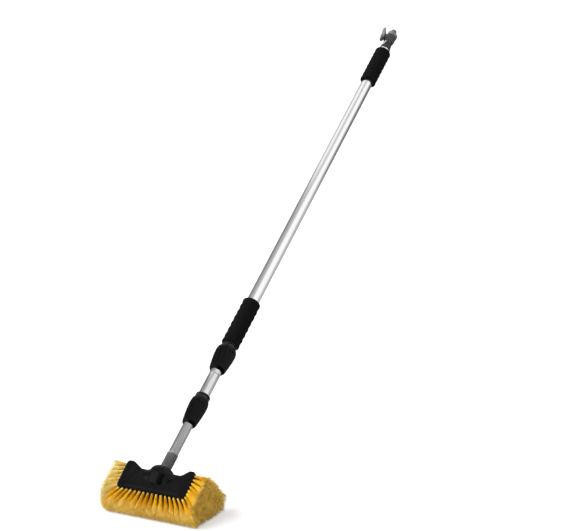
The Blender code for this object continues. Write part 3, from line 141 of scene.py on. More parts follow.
class Board:
    """The node tree of one material, or of the world."""

    MIX_FIRST = 6
    MIX_SECOND = 7
    MIX_RESULT = 2

    def __init__(self, home: Material | bpy.types.World) -> None:
        """Opens the tree of a material or world, and finds its shader if it has one.

        Args:
            home: The material or world.
        """
        home.use_nodes = True
        self.material = home
        self.tree = home.node_tree
        self.shader = self.tree.nodes.get("Principled BSDF")

    @classmethod
    def named(cls, name: str) -> "Board":
        """Opens the tree of a new material."""
        return cls(bpy.data.materials.new(name))

    def node(
        self, kind: str, settings: dict | None = None, sockets: dict | None = None, out: int | str = 0
    ) -> Wire:
        """Adds a node.

        Args:
            kind: The node's type.
            settings: Its own properties, and "stops" for a ramp's places and colours.
            sockets: Values or links of its inputs, by name or number.
            out: Which output is wanted.

        Returns:
            That output.
        """
        made = self.tree.nodes.new(kind)
        for key, value in (settings or {}).items():
            if key == "stops":
                self._stops(made.color_ramp, value)
            else:
                setattr(made, key, value)
        for key, value in (sockets or {}).items():
            if isinstance(value, Wire):
                self.tree.links.new(value.socket, made.inputs[key])
            else:
                made.inputs[key].default_value = value
        return Wire(self, made.outputs[out])

    @staticmethod
    def _stops(ramp: bpy.types.ColorRamp, stops: Sequence[tuple[float, Colour]]) -> None:
        """Sets a ramp's stops.

        Args:
            ramp: The ramp.
            stops: Places from 0 to 1 with their colours.
        """
        while len(ramp.elements) < len(stops):
            ramp.elements.new(0.5)
        for element, (place, colour) in zip(ramp.elements, stops):
            element.position = place
            element.color = (*colour, 1.0)

    def feed(self, **sockets: "Wire | float | Colour") -> None:
        """Sets or links the shader's inputs. An underscore in a name stands for a space.

        Args:
            **sockets: Values or links by the inputs' names.
        """
        for key, value in sockets.items():
            target = self.shader.inputs[key.replace("_", " ")]
            if isinstance(value, Wire):
                self.tree.links.new(value.socket, target)
            elif isinstance(value, tuple) and len(value) == 3:
                target.default_value = (*value, 1.0)
            else:
                target.default_value = value

    def place(self) -> Wire:
        """Gives the place on the object, in metres."""
        return self.node("ShaderNodeTexCoord", out="Object")

    def pole_place(self, squeeze: float) -> Wire:
        """Gives the place with Z along the pole and squeezed, which draws lines along it.

        Args:
            squeeze: Scale along the pole.

        Returns:
            The coordinates.
        """
        place = self.place()
        for change in ({"Rotation": (POLE_TILT, 0.0, 0.0)}, {"Scale": (1.0, 1.0, squeeze)}):
            place = self.node("ShaderNodeMapping", {"vector_type": "POINT"}, {"Vector": place} | change)
        return place

    def noise(self, place: Wire, scale: float, detail: float = 3.0, rough: float = 0.55) -> Wire:
        """Gives smooth noise from 0 to 1, with its scale in cells per metre."""
        sockets = {"Vector": place, "Scale": scale, "Detail": detail, "Roughness": rough}
        return self.node("ShaderNodeTexNoise", None, sockets)

    def ramp(self, value: Wire, stops: Sequence[tuple[float, Colour]]) -> Wire:
        """Turns a value into a colour."""
        return self.node("ShaderNodeValToRGB", {"stops": stops}, {"Fac": value})

    def blend(self, share: "Wire | float", first: "Wire | Colour", second: "Wire | Colour") -> Wire:
        """Blends two colours by a share."""
        sockets = {0: share, self.MIX_FIRST: self._rgba(first), self.MIX_SECOND: self._rgba(second)}
        return self.node("ShaderNodeMix", {"data_type": "RGBA"}, sockets, self.MIX_RESULT)

    def split(self, colour: Wire) -> tuple[Wire, ...]:
        """Splits a colour into its three values."""
        return tuple(self.node("ShaderNodeSeparateColor", None, {"Color": colour}, out) for out in range(3))

    @staticmethod
    def _rgba(colour: "Wire | Colour") -> "Wire | tuple[float, ...]":
        """Gives a colour its fourth value."""
        return colour if isinstance(colour, Wire) else (*colour, 1.0)

    def bump(self, height: Wire, distance: float, strength: float) -> Wire:
        """Gives a normal from a height in units of the distance in metres."""
        sockets = {"Height": height, "Distance": distance, "Strength": strength}
        return self.node("ShaderNodeBump", None, sockets)

    def spread(self, value: Wire, low: float, high: float, to_low: float, to_high: float) -> Wire:
        """Maps a range of values to another one, and stops at its ends."""
        numbers = {"Value": value, "From Min": low, "From Max": high, "To Min": to_low, "To Max": to_high}
        return self.node("ShaderNodeMapRange", {"clamp": True}, numbers)


# Finishes


@dataclass(frozen=True)
class MouldedFinish:
    """Moulded plastic with a fine grain, faint flow marks and a little dust."""

    name: str
    colour: Colour
    worn: Colour
    roughness: float
    grain: float = 0.05 * MM
    grain_scale: float = 1500.0
    gloss: float = 0.25

    def make(self) -> Material:
        """Builds the material.

        Returns:
            The material.
        """
        board = Board.named(self.name)
        place = board.place()
        flow = board.noise(place, 45.0, 4.0)
        fine = board.noise(place, self.grain_scale, 2.0)
        scuff = board.spread(board.noise(place, 260.0, 5.0, 0.7), 0.58, 0.74, 0.0, 0.6)
        wear = board.spread(flow, 0.35, 0.7, 0.0, 0.55) + scuff * 0.35
        colour = board.blend(wear, self.colour, self.worn)
        rough = self.roughness + (flow - 0.5) * 0.12 + scuff * 0.12
        board.feed(Base_Color=colour, Roughness=rough, Specular_IOR_Level=self.gloss)
        board.feed(Normal=board.bump(fine, self.grain, 0.6))
        return board.material


@dataclass(frozen=True)
class TubeFinish:
    """Drawn aluminium with a satin skin: fine lines along the tube and faint handling marks."""

    name: str
    colour: Colour
    shaded: Colour
    roughness: float

    def make(self) -> Material:
        """Builds the material.

        Returns:
            The material.
        """
        board = Board.named(self.name)
        lines = board.noise(board.pole_place(0.012), 2600.0, 3.0, 0.6)
        broad = board.noise(board.pole_place(0.05), 240.0, 3.0)
        marks = board.spread(board.noise(board.place(), 90.0, 6.0, 0.7), 0.5, 0.75, 0.0, 1.0)
        streaks = board.spread(lines * 0.6 + broad * 0.4, 0.35, 0.65, 0.0, 1.0)
        colour = board.blend(streaks, self.shaded, self.colour)
        rough = self.roughness + (lines - 0.5) * 0.16 + marks * 0.08
        board.feed(Base_Color=colour, Metallic=1.0, Roughness=rough)
        board.feed(Normal=board.bump(lines, 0.012 * MM, 0.5))
        return board.material


@dataclass(frozen=True)
class FoamFinish:
    """Closed-cell foam: a dull skin with small open pores."""

    name: str
    colour: Colour
    pore: Colour
    scale: float = 1100.0

    def make(self) -> Material:
        """Builds the material.

        Returns:
            The material.
        """
        board = Board.named(self.name)
        place = board.place()
        sockets = {"Vector": place, "Scale": self.scale, "Randomness": 1.0}
        cells = board.node("ShaderNodeTexVoronoi", {"feature": "F1"}, sockets, "Distance")
        soft = board.noise(place, 160.0, 4.0)
        pores = board.spread(cells, 0.15, 0.6, 1.0, 0.0)
        colour = board.blend(board.spread(soft, 0.35, 0.7, 0.0, 0.6) + pores * 0.25, self.colour, self.pore)
        board.feed(Base_Color=colour, Roughness=0.88 + soft * 0.1, Specular_IOR_Level=0.06)
        height = cells * 0.7 + board.noise(place, 420.0, 3.0) * 0.6
        board.feed(Normal=board.bump(height, 0.22 * MM, 0.7))
        return board.material


@dataclass(frozen=True)
class FibreFinish:
    """Soft fibre, deep amber at its root, golden along its length and pale where its tip is split, with
    painted shade at the roots of rows behind, a painted contact shadow near the floor and a painted
    highlight at the root's start.
    """

    name: str
    root: Colour
    body: Colour
    tip: Colour
    # Colour of random dark clumps at the tips and of the painted contact shadow near the floor.
    dirt_and_floor_shade: Colour
    dirt_share: float
    # Colour of the painted shade between the tufts' roots.
    painted_root_shade: Colour

    def make(self) -> Material:
        """Builds the material from the shares that the strands carry in their colour attribute.

        Returns:
            The material.
        """
        board = Board.named(self.name)
        carried = board.node("ShaderNodeAttribute", {"attribute_name": "fibre"}, None, "Color")
        along, shade, depth = board.split(carried)
        # The pale tip colour over the first few percent of the root is a painted highlight where the roots
        # catch light.
        stops = [(0.0, self.tip), (0.07, self.tip), (0.17, self.body), (0.3, self.root)]
        stops += [(0.52, self.body), (0.7, self.body), (0.97, self.tip)]
        colour = board.blend(board.spread(shade, 0.0, 1.0, 0.35, 0.0), board.ramp(along, stops), self.root)
        clumps = board.spread(board.noise(board.place(), 250.0, 3.0, 0.7), 0.5, 0.58, 0.0, 1.0)
        ends = board.spread(along, 0.6, 0.9, 0.0, self.dirt_share)
        colour = board.blend(clumps * ends, colour, self.dirt_and_floor_shade)
        # Painted contact shadow: the fibre darkens towards the dirt colour in the lowest 5 mm above the
        # floor.
        height = board.node("ShaderNodeSeparateXYZ", None, {"Vector": board.place()}, "Z")
        colour = board.blend(board.spread(height, 0.0, 5 * MM, 0.8, 0.0), colour, self.dirt_and_floor_shade)
        # Painted shade: the roots of tufts behind the front row darken towards the root-shade colour.
        colour = board.blend(depth * board.spread(along, 0.15, 0.62, 0.93, 0.0), colour, self.painted_root_shade)
        board.feed(Base_Color=colour, Roughness=0.6, Specular_IOR_Level=0.2)
        return board.material


@dataclass(frozen=True)
class RubberFinish:
    """Plain rubber with a dull skin."""

    name: str
    colour: Colour

    def make(self) -> Material:
        """Builds the material.

        Returns:
            The material.
        """
        board = Board.named(self.name)
        skin = board.noise(board.place(), 700.0, 3.0)
        dusty = mixed(self.colour, (0.1, 0.1, 0.1), 0.4)
        board.feed(Base_Color=board.blend(skin, self.colour, dusty), Roughness=0.7 + skin * 0.15)
        board.feed(Normal=board.bump(skin, 0.03 * MM, 0.5))
        return board.material


@dataclass(frozen=True)
class SteelFinish:
    """Turned steel with faint rings."""

    name: str
    colour: Colour
    roughness: float

    def make(self) -> Material:
        """Builds the material.

        Returns:
            The material.
        """
        board = Board.named(self.name)
        skin = board.noise(board.place(), 1400.0, 4.0)
        board.feed(Base_Color=board.blend(skin, self.colour, (0.42, 0.43, 0.45)), Metallic=1.0)
        board.feed(Roughness=self.roughness + skin * 0.12)
        return board.material


# Mesh helpers


def smoothed(mesh: bpy.types.Mesh, degrees: float = 38.0) -> None:
    """Shades a mesh smooth apart from its sharp edges."""
    mesh.shade_smooth()
    mesh.set_sharp_from_angle(angle=math.radians(degrees))


def kept(name: str, shape: Shape, place: Matrix, degrees: float = 38.0) -> bpy.types.Object:
    """Turns a shape into an object whose place is in its mesh.

    Args:
        name: Name of the piece.
        shape: The finished bmesh, which is freed.
        place: Where the shape goes.
        degrees: Angle from which edges are sharp.

    Returns:
        The object.
    """
    bmesh.ops.transform(shape, matrix=place, verts=shape.verts)
    mesh = bpy.data.meshes.new(name)
    shape.to_mesh(mesh)
    shape.free()
    smoothed(mesh, degrees)
    item = bpy.data.objects.new(name, mesh)
    bpy.context.scene.collection.objects.link(item)
    return item


def round_edges(shape: Shape, width: float, segments: int = 2, degrees: float = 30.0) -> None:
    """Rounds a shape's edges that are sharper than an angle.

    Args:
        shape: The shape.
        width: How far from the edge the rounding starts.
        segments: Its steps.
        degrees: Angle from which an edge is rounded.
    """
    limit = math.radians(degrees)
    inner = [edge for edge in shape.edges if len(edge.link_faces) == 2]
    sharp = [edge for edge in inner if edge.calc_face_angle(0.0) > limit]
    rules = {"offset_type": "OFFSET", "affect": "EDGES", "clamp_overlap": True, "material": -1}
    bmesh.ops.bevel(shape, geom=sharp, offset=width, segments=segments, profile=0.5, **rules)


def spun(points: Sequence[Pair], steps: int, loop: bool) -> Shape:
    """Turns an outline of radii and heights about Z.

    Args:
        points: The outline.
        steps: Steps of the full turn.
        loop: Whether the outline's ends are joined, as on a sleeve.

    Returns:
        The closed shape, facing outwards.
    """
    shape = bmesh.new()
    verts = [shape.verts.new((radius, 0.0, height)) for radius, height in points]
    pairs = list(zip(verts, verts[1:]))
    if loop:
        pairs.append((verts[-1], verts[0]))
    edges = [shape.edges.new(pair) for pair in pairs]
    full_turn = {"cent": (0.0, 0.0, 0.0), "axis": (0.0, 0.0, 1.0), "angle": math.tau, "use_merge": True}
    bmesh.ops.spin(shape, geom=verts + edges, steps=steps, **full_turn)
    bmesh.ops.remove_doubles(shape, verts=shape.verts, dist=MERGE)
    bmesh.ops.recalc_face_normals(shape, faces=shape.faces)
    return shape


def near(radius: float, height: float, *steps: Pair) -> list[Pair]:
    """Gives points of an outline near a place, from their distances to it in millimetres."""
    return [(radius + out * MM, height + up * MM) for out, up in steps]


def merged(target: Shape, other: Shape) -> None:
    """Adds another shape to a shape and frees it.

    Args:
        target: The shape that grows.
        other: The shape that is added.
    """
    carrier = bpy.data.meshes.new("carrier")
    other.to_mesh(carrier)
    other.free()
    target.from_mesh(carrier)
    bpy.data.meshes.remove(carrier)


def dressed(item: bpy.types.Object, body: Body, slot: str, material: Material, *nodes: str) -> None:
    """Gives a piece its finish, its body and the CAD nodes that it stands for.

    Args:
        item: The piece.
        body: The body that it rides on.
        slot: A material slot's name, which is not used.
        material: Its finish.
        nodes: CAD nodes that it replaces.
    """
    item.data.materials.clear()
    item.data.materials.append(material)
    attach(item, body.value)
    if nodes:
        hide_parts(*nodes)
    log.info("made %s with %d faces", item.name, len(item.data.polygons))


def repainted(node: str, material: Material) -> None:
    """Gives a CAD node another finish.

    Args:
        node: The node's name.
        material: The finish.
    """
    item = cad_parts[node]
    if not item.material_slots:
        item.data.materials.append(material)
    for place in item.material_slots:
        place.material = material


def on_slope(reach: float, height: float) -> Pair:
    """World Y and Z of a place along and above the block's slope."""
    place = SLOPE @ Vector((0.0, reach, height))
    return place.y, place.z


def mixed(first: Sequence[float], second: Sequence[float], share: float) -> tuple[float, ...]:
    """A point at a share of the way from one point to another."""
    return tuple(a + (b - a) * share for a, b in zip(first, second))


# Bristles


def travelled(points: Sequence[Pair], share: float) -> Pair:
    """Gives the point at a share of the way along a broken line, whose parts take equal shares."""
    part = min(len(points) - 2, int(share * (len(points) - 1)))
    return mixed(points[part], points[part + 1], share * (len(points) - 1) - part)


def spread_over(lines: Sequence[Sequence[Pair]], across: float, down: float) -> Pair:
    """Gives a place in an area with a top line and lines down its front and its rear.

    Args:
        lines: Points of the top line from front to rear, of the front line down from the top line's first
            point, and of the rear line down from its last one.
        across: Share from front to rear.
        down: Share from the top to the bottom.

    Returns:
        World Y and Z.
    """
    top, front, rear = lines
    start = travelled(top, across)
    ahead, behind = travelled(front, down), travelled(rear, down)
    return tuple(
        start[i] + (ahead[i] - front[0][i]) * (1 - across) + (behind[i] - rear[0][i]) * across
        for i in range(2)
    )


@dataclass
class Tuft:
    """One bundle of strands, from its hole to the middle of its tips, and how hidden its root is, which sets
    how much painted shade darkens it near the root.
    """

    root: Vector
    tip: Vector
    spread: float
    # Share of painted shade at the root, for tufts behind the front row.
    depth: float = 1.0


@dataclass(frozen=True)
class Trim:
    """A plane that the strands of a bed are cut to."""

    place: Vector
    normal: Vector


@dataclass
class TuftBed:
    """A group of tufts, whose strands are bent from a few pattern bundles."""

    layers: ClassVar[tuple[str, ...]] = ("seat", "reach", "stray")

    name: str
    node: str
    tufts: list[Tuft]
    trims: list[Trim]
    seed: int
    strands: int
    splits: int = 2
    pieces: int = 2
    patterns: int = 4
    hole: float = 1.7 * MM
    thickness: float = 0.25 * MM
    split_thickness: float = 0.18 * MM
    taper: float = 0.6
    split_from: float = 0.68
    stem_cuts: tuple[float, ...] = (0.2, 0.45, 0.72)
    split_cuts: tuple[float, ...] = (0.84,)
    ragged: float = 0.03
    stray: float = 0.2
    stem_stray: float = 0.3
    bow: float = 0.04
    lift: float = 0.2 * MM
    shares: Pair = (0.35, 1.25)
    lean: float = 0.5
    wander: float = 0.17
    most_reach: float = 1.2
    drawback: float = 0.05
    tone_stray: float = 0.02

    def strand(self, start: float, radius: float, cuts: Sequence[float]) -> Shape:
        """Makes one upright strand of unit length: a three-sided cone that is cut into rings.

        Args:
            start: Height at which it starts.
            radius: Its radius at the start.
            cuts: Heights of the rings between.

        Returns:
            The strand.
        """
        shape = bmesh.new()
        radii = {"radius1": radius, "radius2": radius * self.taper}
        middle = Matrix.Translation((0.0, 0.0, (1.0 + start) / 2))
        bmesh.ops.create_cone(shape, cap_ends=True, segments=3, depth=1.0 - start, matrix=middle, **radii)
        for height in cuts:
            geometry = shape.verts[:] + shape.edges[:] + shape.faces[:]
            plane = {"plane_co": (0.0, 0.0, height), "plane_no": (0.0, 0.0, 1.0)}
            bmesh.ops.bisect_plane(shape, geom=geometry, dist=0.0, **plane)
        return shape

    def bundle(self, chance: random.Random) -> bpy.types.Mesh:
        """Makes a pattern tuft of unit length that every tuft is bent from.

        Args:
            chance: Source of the strands' places.

        Returns:
            A mesh whose layers hold each strand's seat in the hole, its reach at the tip and its stray.
        """
        stem = bpy.data.meshes.new("stem")
        self.strand(0.0, self.thickness, self.stem_cuts).to_mesh(stem)
        split = bpy.data.meshes.new("split")
        self.strand(self.split_from, self.split_thickness, self.split_cuts).to_mesh(split)
        whole = bmesh.new()
        for _ in range(self.strands):
            turn = chance.uniform(0.0, math.tau)
            out = math.sqrt(chance.random())
            seat = Vector((out * math.cos(turn), out * math.sin(turn), chance.random()))
            lean = turn + chance.gauss(0.0, self.lean)
            far = min(self.most_reach, max(0.0, out + chance.gauss(0.0, self.wander)))
            reach = Vector((far * math.cos(lean), far * math.sin(lean), chance.gauss(0.0, self.ragged)))
            for index in range(self.splits + 1):
                stray = Vector((chance.gauss(0.0, 1.0), chance.gauss(0.0, 1.0), chance.gauss(0.0, 1.0)))
                if index == 0:
                    stray *= self.stem_stray
                self.add(whole, stem if index == 0 else split, (seat, reach, stray))
        mesh = bpy.data.meshes.new("bundle")
        whole.to_mesh(mesh)
        whole.free()
        bpy.data.meshes.remove(stem)
        bpy.data.meshes.remove(split)
        return mesh

    def add(self, whole: Shape, pattern: bpy.types.Mesh, facts: Sequence[Vector]) -> None:
        """Adds one strand to a bundle and writes what bends it into its layers.

        Args:
            whole: The bundle's shape.
            pattern: The strand's mesh.
            facts: Its seat, reach and stray.
        """
        shape = bmesh.new()
        layers = [shape.verts.layers.float_vector.new(key) for key in self.layers]
        shape.from_mesh(pattern)
        for vert in shape.verts:
            for layer, fact in zip(layers, facts):
                vert[layer] = fact
        merged(whole, shape)

    def length_share(self, start: Vector, way: Vector) -> float:
        """Gives the share of a way at which it meets the first of the trimming planes.

        Args:
            start: Where the way starts.
            way: The way.

        Returns:
            The share, kept within the bed's limits.
        """
        least, most = self.shares
        shares = [most]
        for trim in self.trims:
            pace = way.dot(trim.normal)
            if pace > 0.0:
                shares.append((trim.place - start).dot(trim.normal) / pace)
        return max(least, min(shares))

    def bent(self, bundle: bpy.types.Mesh, tuft: Tuft, turn: float) -> Shape:
        """Bends a bundle from a tuft's hole to its tips and trims it.

        Args:
            bundle: The pattern tuft.
            tuft: Where it goes.
            turn: Angle by which the pattern is turned first.

        Returns:
            The tuft's shape, in its place.
        """
        shape = bmesh.new()
        shape.from_mesh(bundle)
        seats, reaches, strays = (shape.verts.layers.float_vector[key] for key in self.layers)
        fibre = shape.verts.layers.float_color.new("fibre")
        axis = tuft.tip - tuft.root
        basis = axis.to_track_quat("Z", "X").to_matrix() @ Matrix.Rotation(turn, 3, "Z")
        side, up = basis.col[0], basis.col[1]
        droop = Vector((0.0, 0.0, self.bow * axis.length))
        lines: dict[float, tuple[Vector, Vector, float]] = {}
        for vert in shape.verts:
            seat, reach, stray = vert[seats], vert[reaches], vert[strays]
            along = vert.co.z
            if seat.z not in lines:
                start = tuft.root + (side * seat.x + up * seat.y) * self.hole
                end = tuft.tip + (side * reach.x + up * reach.y) * tuft.spread
                lines[seat.z] = (start, end, self.length_share(start, end - start) * (1.0 + reach.z))
            start, end, share = lines[seat.z]
            opened = along * (0.5 + 0.5 * along)
            place = start + axis * (along * share)
            place += (end - start - axis) * (opened * share)
            loose = max(0.0, along - self.split_from) / (1.0 - self.split_from)
            place += (side * stray.x + up * stray.y) * (self.stray * loose * tuft.spread)
            place -= axis * (abs(stray.z) * self.drawback * loose)
            place += droop * math.sin(math.pi * along)
            place.z = max(place.z, self.lift * (1.0 + seat.z))
            vert.co = place + side * vert.co.x + up * vert.co.y
            tone = min(1.0, max(0.0, along * (1.0 + reach.z) + stray.z * self.tone_stray))
            # The colour attribute carries the share along the strand, its random tone and the tuft's share
            # of painted root shade.
            vert[fibre] = (tone, seat.z, tuft.depth, 1.0)
        for key in self.layers:
            shape.verts.layers.float_vector.remove(shape.verts.layers.float_vector[key])
        return shape

    def build(self, material: Material) -> None:
        """Makes the bed's pieces, which share its tufts.

        Args:
            material: Its finish.
        """
        chance = random.Random(self.seed)
        bundles = [self.bundle(chance) for _ in range(self.patterns)]
        for piece in range(self.pieces):
            whole = bmesh.new()
            for index, tuft in enumerate(self.tufts[piece :: self.pieces]):
                bundle = bundles[index % len(bundles)]
                merged(whole, self.bent(bundle, tuft, chance.uniform(0.0, math.tau)))
            item = kept(f"{self.name}_{piece + 1}", whole, HERE, 80.0)
            dressed(item, Body.HEAD, "bristle", material, self.node)
        for bundle in bundles:
            bpy.data.meshes.remove(bundle)


@dataclass
class Bristles:
    """All bristles of the head: the bed under the block, the rows at the front and both ends."""

    half_length: float = 72 * MM
    half_reach: float = 99 * MM
    underside: float = 45.5 * MM
    floor_gap: float = 0.2 * MM
    base_columns: int = 17
    base_rows: int = 8
    base_inset: float = 5 * MM
    base_spread: float = 6.5 * MM
    base_roots: Pair = (-31 * MM, 22 * MM)
    base_tips: Pair = (-39 * MM, 50 * MM)
    outlet: Pair = (-18.5 * MM, 7 * MM)
    front_columns: int = 16
    front_rows: int = 4
    front_inset: Pair = (4.5 * MM, 2 * MM)
    front_spread: float = 7.5 * MM
    front_roots: tuple[Pair, ...] = mm((-42, 50), (-37, 46))
    front_tips: tuple[Pair, ...] = mm((-61, 17), (-57, 8), (-48, 1))
    end_top_columns: int = 7
    end_columns: int = 11
    end_rows: int = 8
    end_inset: float = 1 * MM
    end_jitter: float = 1 * MM
    end_spread: float = 4.9 * MM
    edge_spread: float = 1.5 * MM
    left_spread: float = 7.5 * MM
    # Share of the painted root shade that the lit left end keeps.
    left_root_shade: float = 0.4
    root_top: tuple[Pair, ...] = (on_slope(5 * MM, -3.5 * MM), on_slope(50 * MM, -4 * MM))
    root_feet: tuple[Pair, ...] = mm((-35, 49.5), (16, 52))
    tip_top: tuple[Pair, ...] = mm((-54, 40), (-46, 51), (-28, 65), (-8, 80))
    tip_front: tuple[Pair, ...] = mm((-56, 22), (-48, 6))
    tip_rear: tuple[Pair, ...] = mm((19, 69), (44, 45), (66, 20), (57, 6))
    front_line: tuple[Pair, ...] = mm((-58, 40), (-60, 22), (-46, 0))
    rear_line: tuple[Pair, ...] = mm((58, 2), (73, 21), (20, 74))

    def trims(self) -> list[Trim]:
        """Gives the planes that the whole head is trimmed to.

        Returns:
            The planes of the two ends, the floor, the front and the rear.
        """
        planes = [Trim(Vector((side * self.half_reach, 0, 0)), Vector((side, 0, 0))) for side in (-1, 1)]
        planes.append(Trim(Vector((0, 0, self.floor_gap)), Vector((0, 0, -1))))
        for line in (self.front_line, self.rear_line):
            for (y, z), (next_y, next_z) in zip(line, line[1:]):
                planes.append(Trim(Vector((0, y, z)), Vector((0, next_z - z, y - next_y)).normalized()))
        return planes

    def base(self) -> list[Tuft]:
        """Gives the tufts under the block, which fan out and stand on the floor.

        Returns:
            The tufts, by columns from left to right.
        """
        tufts = []
        half = self.half_length - self.base_inset
        for column in range(self.base_columns):
            across = 2 * column / (self.base_columns - 1) - 1
            for row in range(self.base_rows):
                along = row / (self.base_rows - 1)
                root_y = self.base_roots[0] + (self.base_roots[1] - self.base_roots[0]) * along
                if math.hypot(half * across, root_y - self.outlet[0]) < self.outlet[1]:
                    continue
                tip_y = self.base_tips[0] + (self.base_tips[1] - self.base_tips[0]) * along
                root = Vector((half * across, root_y, self.underside))
                tip = Vector(((self.half_reach - self.base_inset) * across, tip_y, 0.0))
                tufts.append(Tuft(root, tip, self.base_spread))
        return tufts

    def front(self) -> list[Tuft]:
        """Gives the tufts in the front edge, which fan forwards and down to the floor.

        Returns:
            The tufts, by columns from left to right.
        """
        tufts = []
        root_reach, tip_reach = self.half_length - self.front_inset[0], self.half_reach - self.front_inset[1]
        for column in range(self.front_columns):
            across = 2 * column / (self.front_columns - 1) - 1
            for row in range(self.front_rows):
                down = row / (self.front_rows - 1)
                root = Vector((root_reach * across, *travelled(self.front_roots, down)))
                tip = Vector((tip_reach * across, *travelled(self.front_tips, down)))
                # Rows behind the front one get painted shade at their roots.
                tufts.append(Tuft(root, tip, self.front_spread, min(1.0, 2 * down)))
        return tufts

    def end(self, side: int) -> list[Tuft]:
        """Tufts in one end of the block.

        Args:
            side: 1 for the right end and -1 for the left one.

        Returns:
            The tufts, from the top row down.
        """
        tufts = []
        front_foot, rear_foot = self.root_feet
        roots = (self.root_top, (self.root_top[0], front_foot), (self.root_top[-1], rear_foot))
        tips = (self.tip_top, (self.tip_top[0], *self.tip_front), (self.tip_top[-1], *self.tip_rear))
        chance = random.Random(70 + side)
        foot, reach = side * (self.half_length - self.end_inset), side * self.half_reach
        for row in range(self.end_rows):
            down = row / (self.end_rows - 1)
            columns = self.end_columns if row else self.end_top_columns
            for column in range(columns):
                across = column / (columns - 1)
                if across < 0.5 and row % 2 and across * 2 < down:
                    continue
                shift = Vector((0.0, *(chance.gauss(0.0, self.end_jitter) for _ in range(2))))
                start = Vector((foot, *spread_over(roots, across, down)))
                end = Vector((reach, *spread_over(tips, across, down))) + shift
                width = self.end_spread + (self.edge_spread if across > 0.85 or not row else 0.0)
                # Lower rows get painted shade at their roots; the lit left end gets less of it.
                depth = min(1.0, 3 * down)
                if side < 0:
                    width, depth = self.left_spread, depth * self.left_root_shade
                tufts.append(Tuft(start, end, width, depth))
        return tufts

    def build(self, finishes: Finishes) -> None:
        """Makes all beds.

        Args:
            finishes: The materials, by a short name.
        """
        trims = self.trims()
        # The left end takes the paler, lit copy of the fibre, which is painted light.
        left, front, right = finishes["lit_fibre"], finishes["fibre"], finishes["cut_fibre"]
        TuftBed("base_tufts", "base_bristles", self.base(), trims, 11, 48, 1).build(front)
        TuftBed("front_tufts", "front_bristles", self.front(), trims, 23, 56).build(front)
        TuftBed("left_tufts", "left_bristles", self.end(-1), trims, 37, 52).build(left)
        TuftBed("right_tufts", "right_bristles", self.end(1), trims, 41, 52).build(right)


# Block


@dataclass
class Block:
    """The moulded block. Its edges and the feet of its hub are softened as a mould leaves them."""

    voxel: float = 0.8 * MM
    passes: int = 5
    softening: float = 0.5

    def build(self, material: Material) -> None:
        """Makes the softened block from a copy of the CAD node's mesh.

        Args:
            material: Its finish.
        """
        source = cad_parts["brush_block"].data.copy()
        shape = bmesh.new()
        shape.from_mesh(source)
        bmesh.ops.remove_doubles(shape, verts=shape.verts, dist=MERGE)
        shape.to_mesh(source)
        shape.free()
        draft = bpy.data.objects.new("block_draft", source)
        bpy.context.scene.collection.objects.link(draft)
        remesh = draft.modifiers.new("Even", "REMESH")
        remesh.mode = "VOXEL"
        remesh.voxel_size = self.voxel
        bpy.context.view_layer.update()
        even = draft.evaluated_get(bpy.context.evaluated_depsgraph_get()).to_mesh()
        shape = bmesh.new()
        shape.from_mesh(even)
        bpy.data.objects.remove(draft)
        bpy.data.meshes.remove(source)
        axes = {"use_axis_x": True, "use_axis_y": True, "use_axis_z": True}
        for _ in range(self.passes):
            bmesh.ops.smooth_vert(shape, verts=shape.verts, factor=self.softening, **axes)
        item = kept("moulded_block", shape, HERE, 60.0)
        dressed(item, Body.HEAD, "block", material, "brush_block")


# Pole


@dataclass
class PoleTube:
    """One drawn tube with turned-in ends and, where it has one, a rolled crimp."""

    name: str
    radius: float
    start: float
    end: float
    body: Body
    crimp: float | None = None
    wall: float = 1 * MM
    crimp_depth: float = 0.45 * MM
    crimp_length: float = 3 * MM
    crimp_curve: tuple[Pair, ...] = ((0.0, 1.0), (0.15, 0.9), (0.3, 0.35), (0.5, 0.0))
    edge: float = 0.25 * MM

    def build(self, material: Material) -> None:
        """Makes the tube.

        Args:
            material: Its finish.
        """
        bore = self.radius - self.wall
        outer = [(self.radius, self.end)]
        if self.crimp is not None:
            middle = self.crimp + self.crimp_length / 2
            upper = list(reversed(self.crimp_curve))
            lower = [(-shift, sink) for shift, sink in self.crimp_curve[1:]]
            for shift, sink in upper + lower:
                outer.append((self.radius - self.crimp_depth * sink, middle + self.crimp_length * shift))
        outer.append((self.radius, self.start))
        shape = spun([*outer, (bore, self.start), (bore, self.end)], 96, True)
        round_edges(shape, self.edge, 2, 60.0)
        item = kept(self.name + "_drawn", shape, POLE, 50.0)
        dressed(item, self.body, "tube", material, self.name)


